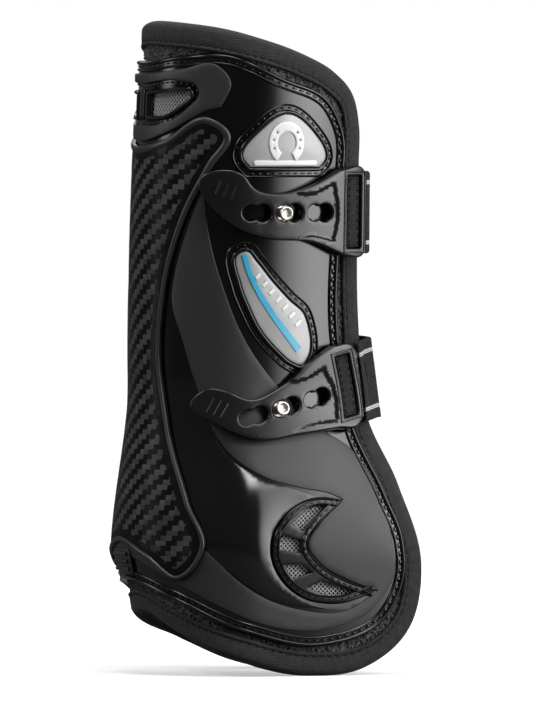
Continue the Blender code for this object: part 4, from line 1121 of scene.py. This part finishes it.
def make_lining():
    """The neoprene lining, whose inner face is perforated, and the spacer fabric showing round the shell."""
    outline = lining_outline()

    def outer(flat):
        inset = smoothstep((distances([outline], flat) - 5.5) / 3.0)
        return LINING_AT_EDGE + (LINING_IN_POCKET - LINING_AT_EDGE) * inset

    columns, rows = np.meshgrid(np.arange(-19, 20) * HOLE_PITCH, np.arange(0, 41) * HOLE_PITCH * 0.866)
    columns = columns + (np.arange(41) % 2)[:, None] * HOLE_PITCH / 2
    centres = np.column_stack([columns.ravel(), rows.ravel()])
    spots = [centres]
    for radius in (0.45, HOLE_RADIUS):
        spots += [centres + offset for offset in arc(radius, full_turn(8))]
    spots = np.vstack(spots)
    nearest_hole = nearest_to(centres)

    def inner(flat):
        _, near = nearest_hole(flat)
        return LINING_INNER + HOLE_DEPTH * (1 - smoothstep((near - 0.4) / (HOLE_RADIUS - 0.4)))

    def turned_over(flat, depth):
        return wrap(flat, -depth)

    skin(
        "neoprene_lining", [grown(outline, -0.3)], lambda flat: -inner(flat), lambda flat: -outer(flat),
        "neoprene", edge=0.4, pitch=3.2, extra=spots, place=turned_over, bottom_pitch=2.0,
    )
    strip = [grown(outline, -5.2), grown(shell_outline(), 0.25)]
    rng = np.random.default_rng(7)
    low, high = strip[0].min(axis=0), strip[0].max(axis=0)
    nearest_loop = nearest_to(rng.uniform(low, high, (int((high - low).prod() / LOOP_AREA), 2)))

    def knitted(flat):
        _, near = nearest_loop(flat)
        return -2.05 + LOOP_RELIEF * np.cos(np.clip(near / LOOP_REACH, 0, 1) * math.pi)

    skin(
        "spacer_fabric_strip", strip, knitted, -2.74, "spacer", edge=0.2, pitch=0.45, edge_steps=1,
        bottom_pitch=2.5,
    )


def make_binding():
    """The soft tape rolled over the lining's edge, its puckered seam and the hem sewn along it."""
    path = lining_outline(0.8)
    nose = np.radians(np.linspace(82, -82, 15))
    rolled = np.column_stack([-1.0 + 2.75 * np.cos(nose), -5.4 + 4.65 * np.sin(nose)])
    outside = np.array(
        [(-6.6, -2.55), (-6.75, -1.9), (-6.5, -1.35), (-5.9, -1.0), (-4.6, -0.78), (-2.8, -0.7)]
    )
    under = np.array([(-2.8, -10.1), (-4.6, -10.05), (-5.6, -9.8), (-5.9, -9.2), (-5.9, -8.45)])
    channel = np.array([(0.1, -8.45), (0.1, -2.55)])
    profile = np.vstack([outside, rolled, under, channel])
    reach = np.exp(-((profile[:, 0] + 6.2) / 1.9) ** 2) * (profile[:, 1] > -2.5)

    def puckers(rings, sides):
        return 0.16 * np.cos(full_turn(rings) * round(rings / 4.4))[:, None] * reach[None, :sides]

    sweep("edge_binding", path, profile, "binding", ripple=puckers, sharp_angle=60)
    hem = grown(path, -7.0)
    rope = arc(0.85, full_turn(8)) - (0, 1.45)

    def twist(rings, sides):
        return 0.14 * np.cos(full_turn(rings) * round(rings / 3.6))[:, None] * np.ones(sides)

    sweep("binding_hem", hem, rope, "binding", ripple=twist, sharp_angle=80)
    stitching("binding_stitching", grown(path, -6.05), "thread", -0.95, 2.2, 1.3, 0.3)


# ---------------------------------------------------------------- closures and elastics

def closure_inner(flat):
    """Depth of a closure's inner face, which stands further off the shell towards its two ends."""
    forward = smoothstep((flat[:, 0] - STUD_GIRTH) / (CLOSURE_FRONT_GIRTH - STUD_GIRTH))
    tail_start, tail_run = CLOSURE_TAIL
    backward = smoothstep((tail_start - flat[:, 0]) / tail_run)
    at_studs, more_forward, more_backward = CLOSURE_STANDOFFS
    return at_studs + more_forward * forward + more_backward * backward


def make_closure(strap):
    """One moulded closure: keyholes in a sunk panel, a window in a raised rim, and ribs on its tail."""
    body = f"{strap}_closure_body"
    outline = smooth_curve(CLOSURE_OUTLINES[strap], 0.9)
    window = smooth_curve(CLOSURE_WINDOWS[strap], 0.8)
    panel = smooth_curve(CLOSURE_PANELS[strap], 0.8)
    tilt = STRAP_TILTS[strap]
    holes = []
    for place in (-1, 0, 1):
        girth = STUD_GIRTH + place * KEYHOLE_PITCH * math.cos(tilt)
        holes.append(keyhole(girth, float(strap_height(strap, girth)), tilt))

    def rise(flat):
        outside = np.where(inside([panel], flat), -1, 1) * distances([panel], flat)
        return CLOSURE_STEP * smoothstep((outside + 0.35) / 0.7)

    def top(flat):
        return closure_inner(flat) + CLOSURE_THICKNESS - CLOSURE_DISH + rise(flat)

    ledge = np.vstack([grown(panel, shift) for shift in (-0.4, 0.0, 0.4)])
    skin(
        f"{strap}_closure", [outline, window, *holes], top, closure_inner, "strap", edge=0.75, pitch=1.2,
        extra=ledge, body=body, edge_steps=4, sharp_angle=50,
    )

    def on_rim(flat, depth):
        return wrap(flat, depth + closure_inner(flat) + CLOSURE_THICKNESS - CLOSURE_DISH + CLOSURE_STEP)

    def on_panel(flat, depth):
        return wrap(flat, depth + closure_inner(flat) + CLOSURE_THICKNESS - CLOSURE_DISH)

    on_body = {"look": "strap", "body": body}
    bead(f"{strap}_window_rim", grown(window, 1.6), 0.8, 0.35, 0.02, place=on_rim, **on_body)
    end = [grown(window, -0.45)]
    skin(f"{strap}_elastic_end", end, ELASTIC_END_TOP, 2.6, "elastic", edge=0.5, pitch=1.0, body=body)
    path = resampled(grown(window, -1.3), 0.6, True)
    stitching(f"{strap}_window_stitching", path, "thread", ELASTIC_END_TOP + 0.1, 2.0, 0.9, 0.28, body=body)
    for number in range(3):
        foot = np.add(TAIL_RIBS[strap], np.multiply(TAIL_RIB_STEP, number))
        path = resampled(np.array([foot + TAIL_RIB_REACH, foot - TAIL_RIB_REACH]), 0.5, False)
        name = f"{strap}_tail_rib_{number + 1}"
        bead(name, path, 1.0, 0.4, 0.02, closed=False, place=on_panel, **on_body)


def from_edges(ends, strap, rise):
    """A value that changes evenly across an elastic, from its bottom edge to its top edge."""
    half_width = ELASTIC_HALF_WIDTH / math.cos(STRAP_TILTS[strap])
    return ends[0] + (ends[1] - ends[0]) * (rise + half_width) / (2 * half_width)


def leaving_girth(strap, rise):
    return from_edges(ELASTIC_LEAVES_SHELL[strap], strap, rise)


def band_place(strap):
    """A function that places points of an elastic, given as (distance along it, rise) and depth."""
    tilt = STRAP_TILTS[strap]

    def centre(along, rise, depth):
        side = np.where(along > 0, 1.0, -1.0)
        past = np.maximum(np.abs(along) - HALF_CROSSING, 0)
        girth = side * (leaving_girth(strap, rise) - past)
        place = wrap(np.column_stack([girth, strap_height(strap, girth) + rise]), depth)
        fraction = np.minimum(np.abs(along) / HALF_CROSSING, 1)
        lift = ELASTIC_BULGE * (1 - fraction**2.2)
        place[:, 0] += lift
        place[:, 1] *= fraction
        place[:, 2] += lift * math.tan(tilt)
        return place

    def place(flat, depth):
        along, rise = flat[:, 0], flat[:, 1]
        middle = ELASTIC_DEPTHS[1]
        held = centre(along, rise, depth)
        here = centre(along, rise, middle)
        tangent = centre(along + 0.5, rise, middle) - centre(along - 0.5, rise, middle)
        out = np.column_stack([-tangent[:, 1], tangent[:, 0], np.zeros(len(flat))])
        free = here + unit(out) * np.reshape(depth - middle, (-1, 1))
        return np.where((np.abs(along) > HALF_CROSSING)[:, None], held, free)

    return place


def ribbon(name, start, end, half_width, top, bottom, place):
    """A woven elastic with rounded edges and ribs across it. start and end give its ends for each rise."""
    step, rib, rib_height = RIBBON_STEP, RIB_PITCH, RIB_HEIGHT
    edge = np.radians(np.linspace(90, -90, 7))
    thickness = top - bottom
    round_edge = np.column_stack([half_width - thickness / 2 + thickness / 2 * np.cos(edge), np.sin(edge)])
    across = np.linspace(-half_width + thickness / 2, half_width - thickness / 2, 18)[1:-1]
    upper = np.column_stack([across, np.ones(len(across))])
    lower = np.column_stack([across[::-1], -np.ones(len(across))])
    profile = np.vstack([upper, round_edge, lower, round_edge[::-1] * (-1, 1)])
    rises, sides = profile[:, 0], len(profile)
    first, last = start(rises), end(rises)
    count = int((last - first).max() / step)
    share = np.linspace(0, 1, count)[:, None]
    along = first * (1 - share) + last * share
    wave = rib_height * np.abs(np.sin(math.pi * along / rib)) - rib_height
    depth = (top + bottom) / 2 + profile[:, 1] * (thickness / 2 + wave)
    flat = np.column_stack([along.ravel(), np.tile(rises, count)])
    return make_mesh(
        name, place(flat, depth.ravel()), tube_faces(count, sides, False), "elastic", body=None, flat=flat,
    )


def make_elastic(strap):
    """The elastic from the closure across the open front to its anchor, and its sewn turn at the closure."""
    half_width = ELASTIC_HALF_WIDTH / math.cos(STRAP_TILTS[strap])
    place = band_place(strap)

    def near(rise):
        return HALF_CROSSING + leaving_girth(strap, rise) - from_edges(ELASTIC_STARTS[strap], strap, rise)

    def far(rise):
        return ELASTIC_END_GIRTH - HALF_CROSSING - leaving_girth(strap, rise)

    top, bottom = ELASTIC_DEPTHS
    band = ribbon(f"{strap}_elastic", far, near, half_width, top, bottom, place)
    middle = np.zeros(1)
    ends = place(np.array([[far(middle)[0] + 14, 0.0], [near(middle)[0] - 6, 0.0]]), np.full(2, top))
    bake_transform(band)

    def climbing(flat, depth):
        back = near(flat[:, 1]) - flat[:, 0]
        return place(flat, depth + 1.0 * smoothstep(1 - back / 2.4))

    turn = ribbon(
        f"{strap}_elastic_turn", lambda rise: near(rise) - 2.6, lambda rise: near(rise) + 0.55,
        half_width - 0.6, top + 1.0, top + 0.12, climbing,
    )
    ends = place(np.array([[near(middle)[0] - 2.4, 0.0], [near(middle)[0] + 0.3, 0.0]]), np.full(2, top))
    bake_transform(turn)


def make_anchor(strap):
    """The plate that clamps an elastic on the inner side, and its two domed rivets."""
    middle = float(strap_height(strap, RIVET_GIRTH))
    outline = rounded_rectangle((-98, middle - 18), (-78, middle + 18), 4.0)
    holes = [circle(*place, RIVET_HOLE) for place in rivet_places(strap)]
    skin(f"{strap}_anchor_plate", [outline, *holes], 5.3, 4.0, "strap", edge=0.6)
    bead(f"{strap}_anchor_bead", grown(outline, -2.0), 1.3, 0.45, 5.32, "strap")
    for end, (girth, height) in zip(("top", "bottom"), rivet_places(strap)):
        profile = [(0.3, -4.3), (3.0, -4.3), (3.0, -3.2), (2.0, -3.2), (2.0, 6.4), (3.45, 6.4)]
        for turn in np.radians(np.linspace(0, 85, 8)):
            profile.append((3.6 * math.cos(turn), 6.55 + 1.1 * math.sin(turn)))
        turned(f"{strap}_anchor_rivet_{end}", profile, girth, height, 36)


def make_stud(strap):
    """A keyhole stud with a flanged collar and a hexagon socket in its head."""
    profile = [
        (0.4, -2.9), (1.9, -2.9), (1.9, 0.45), (3.5, 0.45), (3.6, 0.55), (3.55, 0.8), (3.3, 0.85),
        (1.9, 0.85), (1.9, 5.3), (2.6, 5.32), (2.85, 5.5), (2.9, 6.1), (2.8, 6.55), (2.6, 6.78),
        (2.35, 6.85), (2.0, 6.8), (1.75, 6.62), (1.55, 6.5, 6), (1.5, 6.4, 6), (1.5, 5.6, 6), (0.3, 5.45, 6),
    ]
    turned(f"{strap}_stud", profile, STUD_GIRTH, STUD_HEIGHTS[strap], 60, sharp_angle=35)


# ---------------------------------------------------------------- the soft pad

def pad_block(inset):
    """The tendon pad drawn in by an inset all round: curved to the lining, and flat to the leg."""
    low, high = PAD_HEIGHTS
    outline = rounded_rectangle(
        (-PAD_HALF_GIRTH + inset, low + inset), (PAD_HALF_GIRTH - inset, high - inset), 8.0 - inset,
    )
    outer = LINING_INNER - 0.45 - inset
    points, faces = triangulated([outline], lattice([outline], 2.5))
    back = wrap(points, outer)
    front = back.copy()
    front[:, 0] = PAD_FACE_X - inset
    count, rim = len(points), len(outline)
    here = np.arange(rim)
    wall = np.column_stack([here, np.roll(here, -1), np.roll(here, -1) + count, here + count])
    return np.vstack([back, front]), faces.tolist() + (faces[:, ::-1] + count).tolist() + wall.tolist()


def settled(piece):
    """Makes a piece's modified shape its own shape."""
    graph = bpy.context.evaluated_depsgraph_get()
    piece.data = bpy.data.meshes.new_from_object(piece.evaluated_get(graph))
    piece.modifiers.clear()


def puffed(piece, most):
    """Swells a closed piece with a short cloth simulation, no point moving further than most millimetres."""
    scene = bpy.context.scene
    remesh = piece.modifiers.new("even_mesh", "REMESH")
    remesh.mode = "VOXEL"
    remesh.voxel_size = PAD_VOXEL * MILLIMETRE
    settled(piece)
    rest = np.array([vertex.co for vertex in piece.data.vertices])
    cloth = piece.modifiers.new("puff", "CLOTH")
    cloth.settings.use_pressure = True
    cloth.settings.uniform_pressure_force = PAD_PRESSURE
    cloth.settings.effector_weights.gravity = 0.0
    for number in range(PAD_FRAMES):
        scene.frame_set(number + 1)
    graph = bpy.context.evaluated_depsgraph_get()
    moved = np.array([vertex.co for vertex in piece.evaluated_get(graph).data.vertices])
    piece.modifiers.clear()
    scene.frame_set(1)
    shift = moved - rest
    length = np.linalg.norm(shift, axis=1, keepdims=True)
    shift *= np.minimum(1, most * MILLIMETRE / np.maximum(length, 1e-9))
    piece.data.vertices.foreach_set("co", (rest + shift).astype(np.float32).ravel())
    piece.data.update()


def make_tendon_pad():
    """The soft gel pad over the tendons, swollen by simulation, then pressed in along three channels."""
    corners, faces = pad_block(PAD_INSET)
    pad = make_mesh("tendon_pad", corners, faces, "gel", body=None, sharp_angle=180)
    puffed(pad, PAD_SWELL)
    smooth = pad.modifiers.new("smooth", "SUBSURF")
    smooth.levels = smooth.render_levels = 1
    settled(pad)
    points = np.array([vertex.co for vertex in pad.data.vertices]) / MILLIMETRE
    low, high = PAD_HEIGHTS
    faces_leg = smoothstep((points[:, 0] - (PAD_FACE_X - 3.0)) / 2.0)
    for share in (0.25, 0.5, 0.75):
        dip = np.exp(-((points[:, 2] - (low + (high - low) * share)) / CHANNEL_HALF_WIDTH) ** 2)
        points[:, 0] -= CHANNEL_DEPTH * dip * faces_leg
    pad.data.vertices.foreach_set("co", (points * MILLIMETRE).astype(np.float32).ravel())
    pad.data.materials.clear()
    pad.data.materials.append(LOOKS["gel"][0])
    pad.data.shade_smooth()
    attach(pad, "boot")


def dress_hidden_parts():
    """CAD nodes whose shape stays, with finished materials."""
    for node, look in (("gel_insert", "gel"), ("upper_tee_nut", "nickel"), ("lower_tee_nut", "nickel")):
        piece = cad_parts[node]
        piece.data.materials.clear()
        piece.data.materials.append(LOOKS[look][0])


# ---------------------------------------------------------------- the studio

FLOOR_HALF_SIZE = 9.0
FLOOR_IN_REFLECTIONS = 0.12
GLOW_NEAR, GLOW_FAR = 0.40, 1.0
GLOW_DISTANCES = (0.15, 1.1)


def make_floor():
    """A pale floor that fades into a white surround, and is darker in the boot's gloss than to the camera."""
    mesh = bpy.data.meshes.new("floor")
    corners = [(x * FLOOR_HALF_SIZE, y * FLOOR_HALF_SIZE, 0) for x, y in ((-1, -1), (1, -1), (1, 1), (-1, 1))]
    mesh.from_pydata(corners, [], [(0, 1, 2, 3)])
    made, tree, shader = new_look("studio_paper", Roughness=0.9, Emission_Color=grey(1.0))
    seen = add(tree, "ShaderNodeLightPath").outputs["Is Camera Ray"]
    paper = mixed(tree, noise(tree, 300, 3), grey(0.86), grey(0.90))
    put(tree, shader.inputs["Base Color"], mixed(tree, seen, grey(FLOOR_IN_REFLECTIONS), paper))
    place = add(tree, "ShaderNodeTexCoord").outputs["Object"]
    away = add(tree, "ShaderNodeVectorMath", {0: place}, operation="LENGTH").outputs["Value"]
    glow = mapped(tree, away, *GLOW_DISTANCES, GLOW_NEAR, GLOW_FAR)
    put(tree, shader.inputs["Emission Strength"], maths(tree, "MULTIPLY", glow, seen))
    bumped(tree, shader, noise(tree, 2500, 3), 0.00005)
    mesh.materials.append(made)
    floor = bpy.data.objects.new("floor", mesh)
    bpy.context.scene.collection.objects.link(floor)


CAMERA_AZIMUTH = math.radians(-20)
CAMERA_ELEVATION = math.radians(1.0)
CAMERA_TARGET = Vector((0.0060, 0.0, 0.1281))
CAMERA_LENS, CAMERA_SENSOR, CAMERA_DISTANCE = 800.0, 36, 6.295


def make_camera():
    data = bpy.data.cameras.new("camera")
    data.lens = CAMERA_LENS
    data.sensor_width = CAMERA_SENSOR
    camera = bpy.data.objects.new("camera", data)
    level = math.cos(CAMERA_ELEVATION)
    back = Vector(
        (math.sin(CAMERA_AZIMUTH) * level, -math.cos(CAMERA_AZIMUTH) * level, math.sin(CAMERA_ELEVATION))
    )
    camera.location = CAMERA_TARGET + back * CAMERA_DISTANCE
    camera.rotation_euler = (-back).to_track_quat("-Z", "Y").to_euler()
    bpy.context.scene.collection.objects.link(camera)
    bpy.context.scene.camera = camera


# Softboxes: azimuth in degrees like the camera's, height and distance in metres, (width, height) and watts.
LIGHTS = {
    "key_right": (46, 0.30, 0.9, (0.70, 1.0), 7.4),
    "left": (-112, 0.4, 0.95, (0.35, 1.0), 1.5),
    "top": (-20, 1.3, 0.25, (0.9, 0.7), 8.0),
    "side_left": (-78, 0.72, 0.85, (0.34, 0.28), 2.4),
    "high_right": (22, 0.9, 1.0, (0.5, 0.35), 4.0),
    "back_fill": (165, 0.8, 1.1, (0.6, 0.6), 2.5),
    "inner_fill": (95, 0.7, 1.2, (0.5, 0.6), 1.2),
}
LIGHT_AIM = Vector((0, 0, 0.13))
WORLD_GLOW = (0.12, 1.0)  # for the scene and for the camera


def make_light(name, azimuth, height, distance, size, power):
    data = bpy.data.lights.new(name, "AREA")
    data.shape = "RECTANGLE"
    data.size, data.size_y = size
    data.energy = power
    light = bpy.data.objects.new(name, data)
    turn = math.radians(azimuth)
    light.location = (math.sin(turn) * distance, -math.cos(turn) * distance, height)
    light.rotation_euler = (light.location - LIGHT_AIM).to_track_quat("Z", "Y").to_euler()
    bpy.context.scene.collection.objects.link(light)
    data.use_nodes = True
    tree = data.node_tree
    place = add(tree, "ShaderNodeNewGeometry").outputs["Parametric"]
    parts = add(tree, "ShaderNodeSeparateXYZ", {0: place}).outputs
    waves = [maths(tree, "SINE", maths(tree, "MULTIPLY", parts[axis], math.pi)) for axis in (0, 1)]
    glow = maths(tree, "MULTIPLY", maths(tree, "MULTIPLY", waves[0], waves[1]), math.pi**2 / 4)
    put(tree, tree.nodes["Emission"].inputs["Strength"], glow)


def make_lights():
    for name, values in LIGHTS.items():
        make_light(name, *values)
    world = bpy.data.worlds.new("studio")
    world.use_nodes = True
    tree = world.node_tree
    background = tree.nodes["Background"]
    seen = add(tree, "ShaderNodeLightPath").outputs["Is Camera Ray"]
    put(tree, background.inputs["Color"], grey(1.0))
    put(tree, background.inputs["Strength"], mapped(tree, seen, 0, 1, *WORLD_GLOW))
    bpy.context.scene.world = world
    bpy.context.scene.view_settings.view_transform = "Standard"


def main():
    make_shell()
    make_carbon_panel()
    make_top_panel()
    make_crescents()
    make_heel_vent()
    make_badge("upper_badge", UPPER_BADGE, 2.0)
    make_badge("side_badge", SIDE_BADGE, 1.2)
    make_emblems()
    make_lining()
    make_binding()
    for strap in ("upper", "lower"):
        make_closure(strap)
        make_elastic(strap)
        make_anchor(strap)
        make_stud(strap)
    make_tendon_pad()
    dress_hidden_parts()
    make_floor()
    make_camera()
    make_lights()


main()
